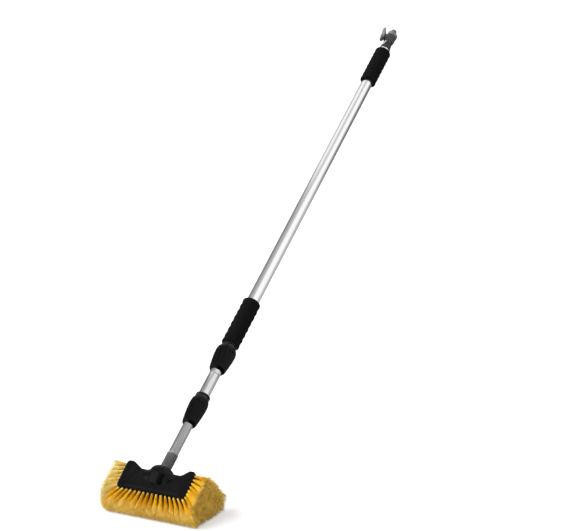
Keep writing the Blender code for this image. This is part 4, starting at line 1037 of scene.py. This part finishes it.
@dataclass
class Connector:
    """The grey sleeve between block and pole, with fine grip ribs between two smooth bands whose pale grey
    is a painted highlight on the sleeve's edges.
    """

    radius: float = 10.5 * MM
    band: float = 10.8 * MM
    length: float = 39 * MM
    band_length: float = 3 * MM
    band_edge: float = 0.35 * MM
    foot: float = 0.35 * MM
    shoulder: float = 0.2 * MM
    shank: float = 9.7 * MM
    shank_end: float = -19.5 * MM
    bore: float = 6.2 * MM
    bore_end: float = 12.1 * MM
    socket: float = 9.7 * MM
    mouth: float = 9.65 * MM
    ribs: int = 36
    rib_depth: float = 0.35 * MM
    rib_end: float = 1 * MM
    rib_rows: int = 12
    skin: float = 0.1 * MM
    top_sunk: float = 0.5 * MM
    foot_edge: float = 0.05 * MM
    band_sunk: float = 0.05 * MM

    def build(self, body_material: Material, glint_band_material: Material) -> None:
        """Makes the sleeve and its two bands, whose pale grey is a painted highlight.

        Args:
            body_material: Finish of the sleeve.
            glint_band_material: Finish of the bands.
        """
        low, high = self.band_length, self.length - self.band_length
        foot, top, side = self.foot, self.length - self.top_sunk, self.radius - self.shoulder
        outer = [(side, top)]
        for step in range(self.rib_rows + 1):
            outer.append((self.radius, high - (high - low) * step / self.rib_rows))
        outer += [(side, foot + self.foot_edge), (self.shank, foot), (self.shank, self.shank_end)]
        inner = [(self.bore, self.shank_end), (self.bore, self.bore_end), (self.socket, self.bore_end)]
        shape = spun([*outer, *inner, (self.socket, top)], self.ribs * 4, True)
        for vert in shape.verts:
            on_grip = low + self.rib_end < vert.co.z < high - self.rib_end
            if on_grip and vert.co.xy.length > self.radius - self.skin:
                turn = math.atan2(vert.co.y, vert.co.x)
                vert.co.xy *= 1.0 + self.rib_depth / self.radius * 0.5 * math.cos(self.ribs * turn)
        item = kept("connector_sleeve", shape, POLE)
        dressed(item, Body.HEAD, "connector", body_material, "thread_connector")
        sunk = self.radius - self.band_sunk
        seats = {"lower": (foot, low, sunk), "upper": (high, self.length, self.mouth)}
        for name, (start, end, seat) in seats.items():
            shape = spun([(self.band, end), (self.band, start), (seat, start), (seat, end)], 72, True)
            round_edges(shape, self.band_edge, 3, 40.0)
            dressed(kept(f"connector_{name}_band", shape, POLE), Body.HEAD, "connector", glint_band_material)


@dataclass
class TwistLock:
    """One twist lock: a fluted collar that turns and a flange with a ring groove."""

    name: str
    start: float
    length: float
    flange: float
    foot: float
    belly: float
    top: float
    flange_radius: float
    tube: float
    outer_tube: float
    body: Body
    collar_body: Body
    flutes: int = 16
    flute_depth: float = 1.3 * MM
    flute_width: float = 0.62
    flute_foot: Pair = (0.13, 0.09)
    flute_top: Pair = (0.84, 0.07)
    swelling: Sequence[Pair] = ((0.015, 0.0), (0.07, 0.3), (0.2, 0.5), (0.4, 0.74), (0.6, 0.92), (0.75, 1.0))
    steps: int = 56
    play: float = 0.4 * MM
    mouth: float = 3.4 * MM
    cavity_gap: float = 2.4 * MM
    cavity_from: float = 14 * MM
    wall: float = 0.6 * MM
    flange_gap: float = 0.3 * MM
    groove_share: float = 0.62
    spigot_gap: float = 2.0 * MM
    spigot_from: float = 16 * MM
    seat_gap: float = 0.06 * MM
    seat_length: float = 18 * MM

    def outline(self) -> list[Pair]:
        """Gives the collar's outer side, from its top edge to its foot.

        Returns:
            Radii and heights.
        """
        swell, narrow = self.belly - self.foot, self.belly - self.top
        knots = [(0.0, self.foot - 0.5 * MM)]
        knots += [(share, self.foot + swell * grown) for share, grown in self.swelling]
        knots += [(0.87, self.belly - 0.15 * MM), (0.95, self.top + narrow * 0.6)]
        knots += [(0.985, self.top + narrow * 0.2), (1.0, self.top - 0.4 * MM)]
        points = []
        for step in range(self.steps, -1, -1):
            share = step / self.steps
            for (low, first), (high, second) in zip(knots, knots[1:]):
                if low <= share <= high:
                    part = (share - low) / (high - low)
                    eased = part * part * (3 - 2 * part) * 0.35 + part * 0.65
                    points.append((first + (second - first) * eased, self.start + self.length * share))
                    break
        return points

    def flute(self, share: float, turn: float) -> float:
        """Gives how deep the flutes are at a height and an angle.

        Args:
            share: Share of the collar's length.
            turn: Angle round the pole.

        Returns:
            Depth, as a share of the full one.
        """
        foot = min(1.0, max(0.0, (share - self.flute_foot[0]) / self.flute_foot[1]))
        window = foot * min(1.0, max(0.0, (self.flute_top[0] - share) / self.flute_top[1]))
        wave = abs((turn * self.flutes / math.tau + 0.5) % 1.0 - 0.5) * 2.0
        dip = max(0.0, 1.0 - (wave / self.flute_width) ** 2)
        return window * window * (3 - 2 * window) * math.sqrt(dip)

    def collar(self, material: Material) -> None:
        """Makes the fluted collar.

        Args:
            material: Its finish.
        """
        start, end = self.start, self.start + self.length
        bore, cavity = self.tube + self.play, self.outer_tube + self.cavity_gap
        inner = [(bore, start), (bore, start + self.mouth)]
        inner += [(cavity, start + self.cavity_from), (cavity, end)]
        shape = spun(self.outline() + inner, self.flutes * 10, True)
        for vert in shape.verts:
            if vert.co.xy.length < cavity + self.wall:
                continue
            depth = self.flute((vert.co.z - self.start) / self.length, math.atan2(vert.co.y, vert.co.x))
            vert.co.xy *= 1.0 - self.flute_depth * depth / vert.co.xy.length
        item = kept(self.name + "_fluted_collar", shape, POLE, 55.0)
        dressed(item, self.collar_body, "lock", material, self.name + "_collar")

    def flange_ring(self, material: Material) -> None:
        """Makes the flange above the collar, with its groove, and the spigot in the collar.

        Args:
            material: Its finish.
        """
        low = self.start + self.length + self.flange_gap
        high = self.start + self.length + self.flange
        wide = self.flange_radius
        groove = low + (high - low) * self.groove_share
        spigot, step = self.outer_tube + self.spigot_gap, self.start + self.spigot_from
        bore, seat, seat_end = self.tube + self.play, self.outer_tube + self.seat_gap, low - self.seat_length
        outer = near(wide, high, (-1.0, 0), (-0.3, -0.4), (0, -1.2))
        outer += near(wide, groove, (0, 1.3), (-0.3, 1), (-1.3, 0.8), (-1.3, -0.8), (-0.3, -1), (0, -1.3))
        outer += near(wide, low, (0.1, 0.6), (-0.3, 0)) + [(spigot, low), (spigot, step)]
        inner = [(bore, step), (bore, seat_end), (seat, seat_end), (seat, high)]
        shape = spun(outer + inner, 96, True)
        item = kept(self.name + "_flange", shape, POLE, 50.0)
        dressed(item, self.body, "lock", material, self.name + "_base")

    def build(self, finishes: Finishes) -> None:
        """Makes the lock."""
        self.collar(finishes["lock"])
        self.flange_ring(finishes["flange"])


@dataclass
class FoamGrip:
    """A foam sleeve with gentle waves, round ends and a slightly uneven skin."""

    name: str
    start: float
    length: float
    radius: float = 18.4 * MM
    wave: float = 1.0 * MM
    waves: int = 7
    edge: float = 5 * MM
    edge_length: float = 4 * MM
    edge_steps: int = 6
    bore: float = 12.56 * MM
    unevenness: float = 0.12 * MM
    wall: float = 1 * MM
    wave_steps: int = 10
    body: Body = Body.OUTER

    def rim(self, step: int) -> Pair:
        """Gives the round rim's radius and its distance from the grip's end after some of its steps."""
        turn = math.pi / 2 * step / self.edge_steps
        return self.radius - self.edge * (1 - math.sin(turn)), self.edge_length * (1 - math.cos(turn))

    def build(self, material: Material) -> None:
        """Makes the grip.

        Args:
            material: Its finish.
        """
        end = self.start + self.length
        rims = [self.rim(step) for step in range(self.edge_steps)]
        points = [(radius, end - height) for radius, height in rims]
        count = self.waves * self.wave_steps
        span = self.length - 2 * self.edge_length
        for step in range(count + 1):
            share = step / count
            sink = self.wave * (1 - math.cos(math.tau * self.waves * share)) / 2
            points.append((self.radius - sink, end - self.edge_length - span * share))
        points += [(radius, self.start + height) for radius, height in reversed(rims)]
        shape = spun([*points, (self.bore, self.start), (self.bore, end)], 80, True)
        chance = random.Random(7)
        phases = [chance.uniform(0, math.tau) for _ in range(3)]
        for vert in shape.verts:
            if vert.co.xy.length < self.bore + self.wall:
                continue
            turn = math.atan2(vert.co.y, vert.co.x)
            uneven = math.sin(3 * turn + vert.co.z * 90 + phases[0]) * math.sin(vert.co.z * 210 + phases[1])
            uneven += 0.6 * math.sin(5 * turn - vert.co.z * 140 + phases[2])
            vert.co.xy *= 1.0 + self.unevenness * uneven / self.radius
        item = kept(self.name + "_foam", shape, POLE, 60.0)
        dressed(item, self.body, "foam", material, self.name)


# Valve


@dataclass
class Valve:
    """The valve on the pole's end: housing, lever, gripped nut and hose nipple."""

    plug_end: float = 1178 * MM
    plug_radius: float = 11.2 * MM
    flange_at: float = 1198.3 * MM
    flange_radius: float = 12.5 * MM
    neck_at: float = 1202 * MM
    neck_radius: float = 10.2 * MM
    housing_at: float = 1221 * MM
    housing_end: float = 1244 * MM
    housing_radius: float = 12.2 * MM
    rib_size: tuple[float, float, float] = (3 * MM, 2 * MM, 13 * MM)
    rib_at: float = 1213.5 * MM
    rib_out: float = 0.6 * MM
    rib_turn: float = math.radians(80)
    rib_lean: float = math.radians(-16)
    rib_edge: float = 0.4 * MM
    boss: tuple[Pair, ...] = mm((0, 15), (6, 15), (6.5, 14.4), (6.9, 9), (0, 9))
    screw_head: tuple[Pair, ...] = mm((0, 23.6), (2.6, 23.5), (3.9, 22.9), (4.3, 22.2), (4.3, 21.6))
    screw_shank: tuple[Pair, ...] = mm((1.3, 21.6), (1.3, 14), (0, 14))
    lever_width: float = 12 * MM
    lever_inner: float = 15.3 * MM
    lever_outer: float = 21.3 * MM
    lever_flat: float = 5 * MM
    nut_end: float = 1256 * MM
    nut_radius: float = 13.3 * MM
    nut_neck: float = 8.3 * MM
    nut_skin: float = 0.5 * MM
    nut_edges: Pair = (3 * MM, 1.2 * MM)
    nut_rows: int = 8
    nut_sunk: float = 1.5 * MM
    nut_turn: float = math.radians(33)
    nut_lobes: int = 3
    nut_dip: float = 2.6 * MM
    nut_ridges: int = 24
    nut_ridge: float = 0.3 * MM
    gap: float = 0.3 * MM
    bore: float = 4.5 * MM
    nipple_radius: float = 6.5 * MM
    nipple_end: float = 1266 * MM
    seal_radius: float = 0.95 * MM
    seal_sunk: float = 0.75 * MM
    seal_from_end: float = 4.9 * MM

    LEVER_FOOT: ClassVar[tuple[tuple[float, ...], ...]] = (
        (-14.2, 16.0, 18.6, 0.5),
        (-13.2, 14.2, 20.6, 0.78),
        (-11.0, 13.4, 21.8, 0.95),
        (-8.0, 13.2, 22.0, 1.0),
        (-5.6, 15.3, 21.6, 1.0),
    )
    LEVER_BLADE: ClassVar[tuple[tuple[float, ...], ...]] = (
        (-5.6, 15.3, 21.6, 1.0),
        (0.0, 15.3, 21.3, 1.0),
        (5.6, 15.3, 22.0, 1.0),
        (8.0, 13.0, 23.6, 1.0),
        (10.0, 13.2, 24.4, 0.98),
        (13.0, 14.8, 25.0, 0.94),
        (16.5, 17.0, 25.2, 0.9),
        (19.6, 18.4, 25.2, 0.9),
        (21.8, 18.9, 25.1, 0.86),
        (23.0, 19.4, 24.8, 0.76),
        (23.7, 20.2, 24.2, 0.58),
    )

    def housing(self, finishes: Finishes) -> None:
        """Makes the housing, its darker neck with two pale ribs, and the spindle's boss.

        Args:
            finishes: The materials, by a short name.
        """
        wide, neck, foot = self.housing_radius, self.neck_radius, self.housing_at
        upper = [(0.0, self.housing_end)]
        upper += near(wide, self.housing_end, (-1.5, 0), (-0.3, -0.6), (0, -1.6))
        upper += near(wide, foot, (0, 10), (-0.5, 6.5), (-1.4, 3)) + near(0.0, foot, (0, 3))
        lower = near(0.0, foot, (0, 0.5)) + near(neck, foot, (0, 0.5), (0.1, -3))
        lower += near(neck, self.neck_at, (0.9, 9), (1.8, 3))
        lower += near(self.flange_radius, self.neck_at, (-0.2, 0), (0, -0.5))
        lower += [(self.flange_radius, self.flange_at), (self.plug_radius, self.flange_at)]
        lower += [(self.plug_radius, self.plug_end), (0.0, self.plug_end)]
        material = finishes["valve"]
        housing = kept("valve_housing", spun(upper, 96, False), POLE, 45.0)
        dressed(housing, Body.OUTER, "valve", material, "valve_body")
        throat = kept("valve_neck", spun(lower, 96, False), POLE, 45.0)
        dressed(throat, Body.OUTER, "valve", finishes["neck"])
        for index in range(2):
            rib = bmesh.new()
            bmesh.ops.create_cube(rib, size=1.0)
            bmesh.ops.scale(rib, vec=self.rib_size, verts=rib.verts)
            round_edges(rib, self.rib_edge)
            turn = Matrix.Rotation(math.pi * index + self.rib_turn, 4, "Z")
            out = Matrix.Translation((neck + self.rib_out, 0, self.rib_at))
            place = POLE @ turn @ out @ Matrix.Rotation(self.rib_lean, 4, "X")
            dressed(kept(f"neck_rib_{index + 1}", rib, place), Body.OUTER, "valve", finishes["nylon"])
        dressed(kept("spindle_boss", spun(self.boss, 48, False), SPINDLE), Body.OUTER, "valve", material)

    def lever_part(self, sections: Sequence[Sequence[float]]) -> Shape:
        """Makes a stretch of the lever.

        Args:
            sections: Ovals: place along, inner and outer side in millimetres, and share of the width.

        Returns:
            The closed shape.
        """
        shape = bmesh.new()
        rings = []
        for along, inner, outer, share in sections:
            made = bmesh.ops.create_circle(shape, cap_ends=False, segments=24, radius=1.0)
            stretch = Matrix.Diagonal(((outer - inner) / 2 * MM, self.lever_width / 2 * share, 1.0, 1.0))
            place = Matrix.Translation(((inner + outer) / 2 * MM, 0.0, along * MM)) @ stretch
            bmesh.ops.transform(shape, matrix=place, verts=made["verts"])
            rings.append(list({edge for vert in made["verts"] for edge in vert.link_edges}))
        for first, second in zip(rings, rings[1:]):
            bmesh.ops.bridge_loops(shape, edges=first + second)
        bmesh.ops.holes_fill(shape, edges=[edge for edge in shape.edges if edge.is_boundary], sides=0)
        bmesh.ops.recalc_face_normals(shape, faces=shape.faces)
        for vert in shape.verts:
            if abs(vert.co.z) < self.lever_flat:
                vert.co.x = min(max(vert.co.x, self.lever_inner), self.lever_outer)
        return shape

    def lever(self, finishes: Finishes) -> None:
        """Makes the lever, which curves away from the valve, its dark foot and its screw.

        Args:
            finishes: The materials, by a short name.
        """
        foot = kept("lever_foot", self.lever_part(self.LEVER_FOOT), VALVE, 40.0)
        dressed(foot, Body.LEVER, "lever", finishes["valve"])
        blade = kept("lever_blade", self.lever_part(self.LEVER_BLADE), VALVE, 40.0)
        dressed(blade, Body.LEVER, "lever", finishes["lever"], "valve_lever")
        head = spun([*self.screw_head, *self.screw_shank], 40, False)
        screw = kept("lever_screw_head", head, SPINDLE, 40.0)
        dressed(screw, Body.LEVER, "steel", finishes["steel"], "lever_screw")

    def nut_and_nipple(self, material: Material) -> None:
        """Makes the nut with its grip lobes and the grooved nipple.

        Args:
            material: Finish of both.
        """
        low = self.housing_end + self.gap
        wide, end = self.nut_radius, self.nut_end
        high, foot, sunk = end - self.nut_edges[0], low + self.nut_edges[1], low - self.nut_sunk
        points = near(wide, end, (-4.6, 0), (-3.2, -0.5))
        for step in range(self.nut_rows + 1):
            points.append((wide, high - (high - foot) * step / self.nut_rows))
        points += near(wide, low, (-0.9, 0)) + [(self.nut_neck, low), (self.nut_neck, sunk)]
        points += [(self.bore, sunk), (self.bore, end)]
        shape = spun(points, 120, True)
        for vert in shape.verts:
            if vert.co.xy.length > wide - self.nut_skin:
                turn = math.atan2(vert.co.y, vert.co.x) - self.nut_turn
                lobe = self.nut_dip * (0.5 - 0.5 * math.cos(self.nut_lobes * turn))
                ridge = self.nut_ridge * (0.5 - 0.5 * math.cos(self.nut_ridges * turn)) ** 2
                vert.co.xy *= 1.0 - (lobe + ridge) / wide
        dressed(kept("nipple_nut", shape, POLE, 45.0), Body.OUTER, "nipple", material, "hose_nipple")
        tip, end = self.nipple_radius, self.nipple_end
        spigot = [(self.bore, end), *near(tip, end, (-0.9, 0), (-0.2, -0.6), (0, -1.4), (0, -3.6))]
        spigot += near(tip, end, (-1.3, -3.9), (-1.3, -5.9), (0, -6.2), (0, -7.6), (1.6, -8.4))
        spigot += near(tip, self.nut_end, (2.0, -0.3)) + near(self.bore, self.nut_end, (0, -0.3))
        dressed(kept("nipple_spigot", spun(spigot, 72, True), POLE, 40.0), Body.OUTER, "nipple", material)

    def ring(self, material: Material) -> None:
        """Makes the rubber ring in the nipple's groove.

        Args:
            material: Its finish.
        """
        middle, height = self.nipple_radius - self.seal_sunk, self.nipple_end - self.seal_from_end
        turns = [math.tau * step / 16 for step in range(16)]
        circle = [(self.seal_radius * math.cos(turn), self.seal_radius * math.sin(turn)) for turn in turns]
        shape = spun([(middle + out, height + up) for out, up in circle], 64, True)
        dressed(kept("nipple_seal", shape, POLE), Body.OUTER, "rubber_ring", material, "nipple_ring")

    def build(self, finishes: Finishes) -> None:
        """Makes the valve.

        Args:
            finishes: The materials, by a short name.
        """
        self.housing(finishes)
        self.lever(finishes)
        self.nut_and_nipple(finishes["nipple"])
        self.ring(finishes["seal"])


@dataclass
class Pole:
    """The pole's pieces, from the connector to the grips."""

    tube_radii: tuple[float, float, float] = (9.5 * MM, 11.0 * MM, 12.5 * MM)

    def build(self, finishes: Finishes) -> None:
        """Makes the pole.

        Args:
            finishes: The materials, by a short name.
        """
        inner, middle, outer = self.tube_radii
        tubes = (
            (PoleTube("inner_tube", inner, 12.3 * MM, 1109.4 * MM, Body.HEAD), "dull_tube"),
            (PoleTube("middle_tube", middle, 150 * MM, 1149.7 * MM, Body.MIDDLE, 230 * MM), "worn_tube"),
            (PoleTube("outer_tube", outer, 279 * MM, 1198 * MM, Body.OUTER, 380 * MM), "tube"),
        )
        for tube, finish in tubes:
            tube.build(finishes[finish])
        Connector().build(finishes["connector"], finishes["band"])
        TwistLock(
            "lower_lock",
            start=109 * MM,
            length=59 * MM,
            flange=12 * MM,
            foot=12.5 * MM,
            belly=18.0 * MM,
            top=16.2 * MM,
            flange_radius=14.6 * MM,
            tube=inner,
            outer_tube=middle,
            body=Body.MIDDLE,
            collar_body=Body.LOWER_COLLAR,
        ).build(finishes)
        TwistLock(
            "upper_lock",
            start=242 * MM,
            length=55 * MM,
            flange=11 * MM,
            foot=14.3 * MM,
            belly=20.6 * MM,
            top=18.4 * MM,
            flange_radius=15.6 * MM,
            tube=middle,
            outer_tube=outer,
            body=Body.OUTER,
            collar_body=Body.UPPER_COLLAR,
        ).build(finishes)
        FoamGrip("front_grip", 308.4 * MM, 113.6 * MM).build(finishes["foam"])
        FoamGrip("rear_grip", 1089 * MM, 103 * MM, 18.1 * MM).build(finishes["foam"])


# Studio


@dataclass
class Studio:
    """Pale floor, soft lamps, a tent that metal mirrors, and the camera."""

    camera_place: tuple[float, float, float] = (1.5172, -2.5039, 1.1440)
    camera_turn: tuple[float, float, float] = (76.9686, -0.2605, 26.9043)
    lens: float = 106.25
    sensor: float = 36.0
    far: float = 100.0
    floor_size: float = 30.0
    floor_sunk: float = 0.3 * MM
    floor_glow: float = 0.36
    even_light: Colour = (0.56, 0.56, 0.565)
    tent_sides: Sequence[tuple[float, float, float]] = (
        (0.549, -0.479, 0.685),
        (0.8369, 0.3149, -0.4497),
        (0.0, 0.8192, 0.5736),
    )
    tent_joins: Sequence[Pair] = ((0.05, 0.2), (0.62, 0.67))
    tent_low: Sequence[Pair] = (
        (-180, 0.1), (-140, 0.2), (-110, 0.6), (-90, 1.0), (-42, 1.0), (-22, 0.3), (-8, 0.05),
        (60, 0.05), (180, 0.08),
    )
    tent_middle: Sequence[Pair] = (
        (-180, 0.5), (-150, 0.3), (-125, 0.17), (-106, 0.24), (-80, 0.34), (-57, 0.42), (-38, 0.5),
        (-26, 0.62), (-12, 1.0), (48, 1.0), (62, 0.8), (80, 0.52), (110, 0.45), (145, 0.35), (180, 0.5),
    )
    tent_high: Sequence[Pair] = (
        (-180, 0.5), (-125, 0.55), (-112, 0.75), (-88, 1.0), (-68, 1.0), (-48, 0.7), (-28, 0.5),
        (-12, 0.75), (6, 1.0), (56, 1.0), (82, 0.4), (110, 0.13), (145, 0.2), (180, 0.5),
    )

    def tent(self, board: Board, way: Wire) -> Wire:
        """Gives the tent's colour in a direction, by its angle round the pole and its lean along it.

        Args:
            board: The board that it is used on.
            way: The direction.

        Returns:
            Its colour.
        """
        dot = {"operation": "DOT_PRODUCT"}
        across, up, along = (
            board.node("ShaderNodeVectorMath", dot, {0: way, 1: side}, "Value") for side in self.tent_sides
        )
        angle = board.node("ShaderNodeMath", {"operation": "ARCTAN2"}, {0: up, 1: across})
        bands = []
        for band in (self.tent_low, self.tent_middle, self.tent_high):
            stops = [((degrees + 180) / 360, (level,) * 3) for degrees, level in band]
            bands.append(board.ramp(angle * (1 / math.tau) + 0.5, stops))
        colour = bands[0]
        for (low, high), band in zip(self.tent_joins, bands[1:]):
            colour = board.blend(board.spread(along, low, high, 0.0, 1.0), colour, band)
        return colour

    def floor(self) -> None:
        """Makes the floor, white to the camera where no shadow falls and clear to metal."""
        shape = bmesh.new()
        bmesh.ops.create_grid(shape, x_segments=1, y_segments=1, size=self.floor_size)
        item = kept("floor", shape, Matrix.Translation((0.0, 0.0, -self.floor_sunk)))
        board = Board.named("pale_floor")
        board.feed(Base_Color=(0.86, 0.86, 0.86), Roughness=0.9, Specular_IOR_Level=0.1)
        seen = board.node("ShaderNodeLightPath", out="Is Camera Ray")
        gloss = board.node("ShaderNodeLightPath", out="Is Glossy Ray")
        light = {"Color": (1.0, 1.0, 1.0, 1.0), "Strength": seen * self.floor_glow}
        glow = board.node("ShaderNodeEmission", None, light)
        both = board.node("ShaderNodeAddShader", None, {0: Wire(board, board.shader.outputs[0]), 1: glow})
        clear = board.node("ShaderNodeBsdfTransparent")
        whole = board.node("ShaderNodeMixShader", None, {0: gloss, 1: both, 2: clear})
        board.tree.links.new(whole.socket, board.tree.nodes["Material Output"].inputs["Surface"])
        item.data.materials.append(board.material)

    def world(self) -> None:
        """Makes the world: white to the camera, the tent to metal and an even light to the rest."""
        world = bpy.data.worlds.new("tent")
        bpy.context.scene.world = world
        board = Board(world)
        seen = board.node("ShaderNodeLightPath", out="Is Camera Ray")
        gloss = board.node("ShaderNodeLightPath", out="Is Glossy Ray")
        way = board.node("ShaderNodeTexCoord", out="Generated")
        colour = board.blend(gloss, self.even_light, self.tent(board, way))
        colour = board.blend(seen, colour, (1.0, 1.0, 1.0))
        board.tree.links.new(colour.socket, board.tree.nodes["Background"].inputs["Color"])

    def sun(self, name: str, place: Iterable[float], power: float, width: float) -> None:
        """Makes a soft distant lamp, which metal doesn't mirror.

        Args:
            name: Its name.
            place: A place in its direction.
            power: Its power.
            width: Its width in degrees.
        """
        light = bpy.data.lights.new(name, "SUN")
        light.angle = math.radians(width)
        light.energy = power
        item = bpy.data.objects.new(name, light)
        item.rotation_euler = Vector(place).to_track_quat("Z", "Y").to_euler()
        item.visible_glossy = False
        bpy.context.scene.collection.objects.link(item)

    def camera(self) -> None:
        """Makes the camera at the photograph's viewing angle."""
        data = bpy.data.cameras.new("camera")
        data.lens = self.lens
        data.sensor_width = self.sensor
        data.clip_end = self.far
        item = bpy.data.objects.new("camera", data)
        item.location = self.camera_place
        item.rotation_euler = [math.radians(angle) for angle in self.camera_turn]
        bpy.context.scene.collection.objects.link(item)
        bpy.context.scene.camera = item

    def build(self) -> None:
        """Makes the studio."""
        self.floor()
        self.world()
        self.camera()
        self.sun("key_lamp", (-1.6, -2.1, 2.3), 2.0, 40.0)
        self.sun("fill_lamp", (-2.4, -0.5, 1.3), 1.0, 60.0)


def grey(level: float, lift: float = 0.0) -> Colour:
    """Gives a grey, or a faintly blue one with a lift."""
    return level, level, level + lift


def make_finishes() -> Finishes:
    """Builds every finish once.

    Returns:
        The materials, by a short name.
    """
    black = grey(0.0015)
    amber, gold, pale, paler = (0.88, 0.45, 0.006), (0.99, 0.6, 0.018), (1.0, 0.76, 0.18), (1.0, 0.77, 0.18)
    # The next colours are a paler, lit copy of the fibre for the left end: painted light, not a different
    # fibre.
    lit_honey, lit_straw, lit_cream = (1.0, 0.69, 0.12), (1.0, 0.83, 0.3), (1.0, 0.92, 0.58)
    # The next colours darken the split tips at random and also paint the contact shadow near the floor.
    earth_and_shade, mud_and_shade, sand_and_shade = (0.5, 0.27, 0.03), (0.42, 0.22, 0.02), (0.8, 0.56, 0.2)
    # The next two colours are painted shade between the tufts' roots, the second one lighter for the lit
    # left end.
    painted_root_shade, lit_painted_root_shade = (0.04, 0.016, 0.001), (0.7, 0.4, 0.04)
    finishes = [
        ("block", MouldedFinish("black_moulding", black, grey(0.004), 0.25, 0.03 * MM, 1300.0, 0.2)),
        ("lock", MouldedFinish("black_lock_moulding", black, grey(0.003), 0.12, 0.01 * MM, 1300.0, 0.14)),
        ("flange", MouldedFinish("glossy_moulding", black, grey(0.003), 0.12, 0.01 * MM, 1300.0, 0.45)),
        ("connector", MouldedFinish("grey_sleeve", grey(0.07, 0.001), grey(0.18, 0.002), 0.32)),
        # The bands' pale grey is a painted highlight where the sleeve's edges catch light.
        ("band", MouldedFinish("painted_glint_band", grey(0.28, 0.005), grey(0.4, 0.01), 0.3)),
        ("neck", MouldedFinish("dark_moulding", grey(0.018), grey(0.035, 0.001), 0.25)),
        ("valve", MouldedFinish("dark_grey_moulding", grey(0.045, 0.001), grey(0.085, 0.003), 0.34)),
        ("lever", MouldedFinish("grey_moulding", grey(0.22, 0.005), grey(0.32, 0.01), 0.36)),
        ("nipple", MouldedFinish("nipple_moulding", grey(0.2, 0.005), grey(0.34, 0.01), 0.34)),
        ("nylon", MouldedFinish("white_nylon", grey(0.72, -0.03), grey(0.8, -0.03), 0.45)),
        ("tube", TubeFinish("satin_tube", grey(0.99), grey(0.94, 0.005), 0.16)),
        ("worn_tube", TubeFinish("worn_satin_tube", grey(0.84), grey(0.7, 0.005), 0.22)),
        ("dull_tube", TubeFinish("dull_satin_tube", grey(0.66), grey(0.52, 0.005), 0.27)),
        ("foam", FoamFinish("black_foam", grey(0.006), grey(0.011))),
        ("fibre", FibreFinish("amber_fibre", amber, gold, pale, earth_and_shade, 0.4, painted_root_shade)),
        ("cut_fibre", FibreFinish("cut_amber_fibre", amber, gold, paler, mud_and_shade, 0.65, painted_root_shade)),
        # The left end's finish is the same amber fibre in paler colours: painted light from the lamps on the
        # left.
        ("lit_fibre", FibreFinish("lit_amber_fibre", lit_honey, lit_straw, lit_cream, sand_and_shade, 0.3, lit_painted_root_shade)),
        ("rubber", RubberFinish("black_rubber", grey(0.015))),
        ("seal", RubberFinish("grey_rubber", grey(0.16))),
        ("steel", SteelFinish("bright_steel", (0.62, 0.63, 0.64), 0.22)),
    ]
    return {name: finish.make() for name, finish in finishes}


INNER_NODES = {
    "connector_washer": "rubber",
    "inner_piston": "nylon",
    "inner_piston_ring": "rubber",
    "middle_piston": "nylon",
    "middle_piston_ring": "rubber",
    "lower_lock_collet": "nylon",
    "upper_lock_collet": "nylon",
    "valve_plug_ring": "rubber",
    "lower_valve_seat": "nylon",
    "upper_valve_seat": "nylon",
    "valve_ball": "steel",
    "valve_spindle": "valve",
    "spindle_ring": "rubber",
}


def main() -> None:
    """Builds the looks in order."""
    logging.basicConfig(level=logging.INFO, format="%(message)s")
    bpy.context.scene.view_settings.view_transform = "Standard"
    finishes = make_finishes()
    Studio().build()
    for node, finish in INNER_NODES.items():
        repainted(node, finishes[finish])
    Bristles().build(finishes)
    Block().build(finishes["block"])
    Pole().build(finishes)
    Valve().build(finishes)


if __name__ == "__main__":
    main()
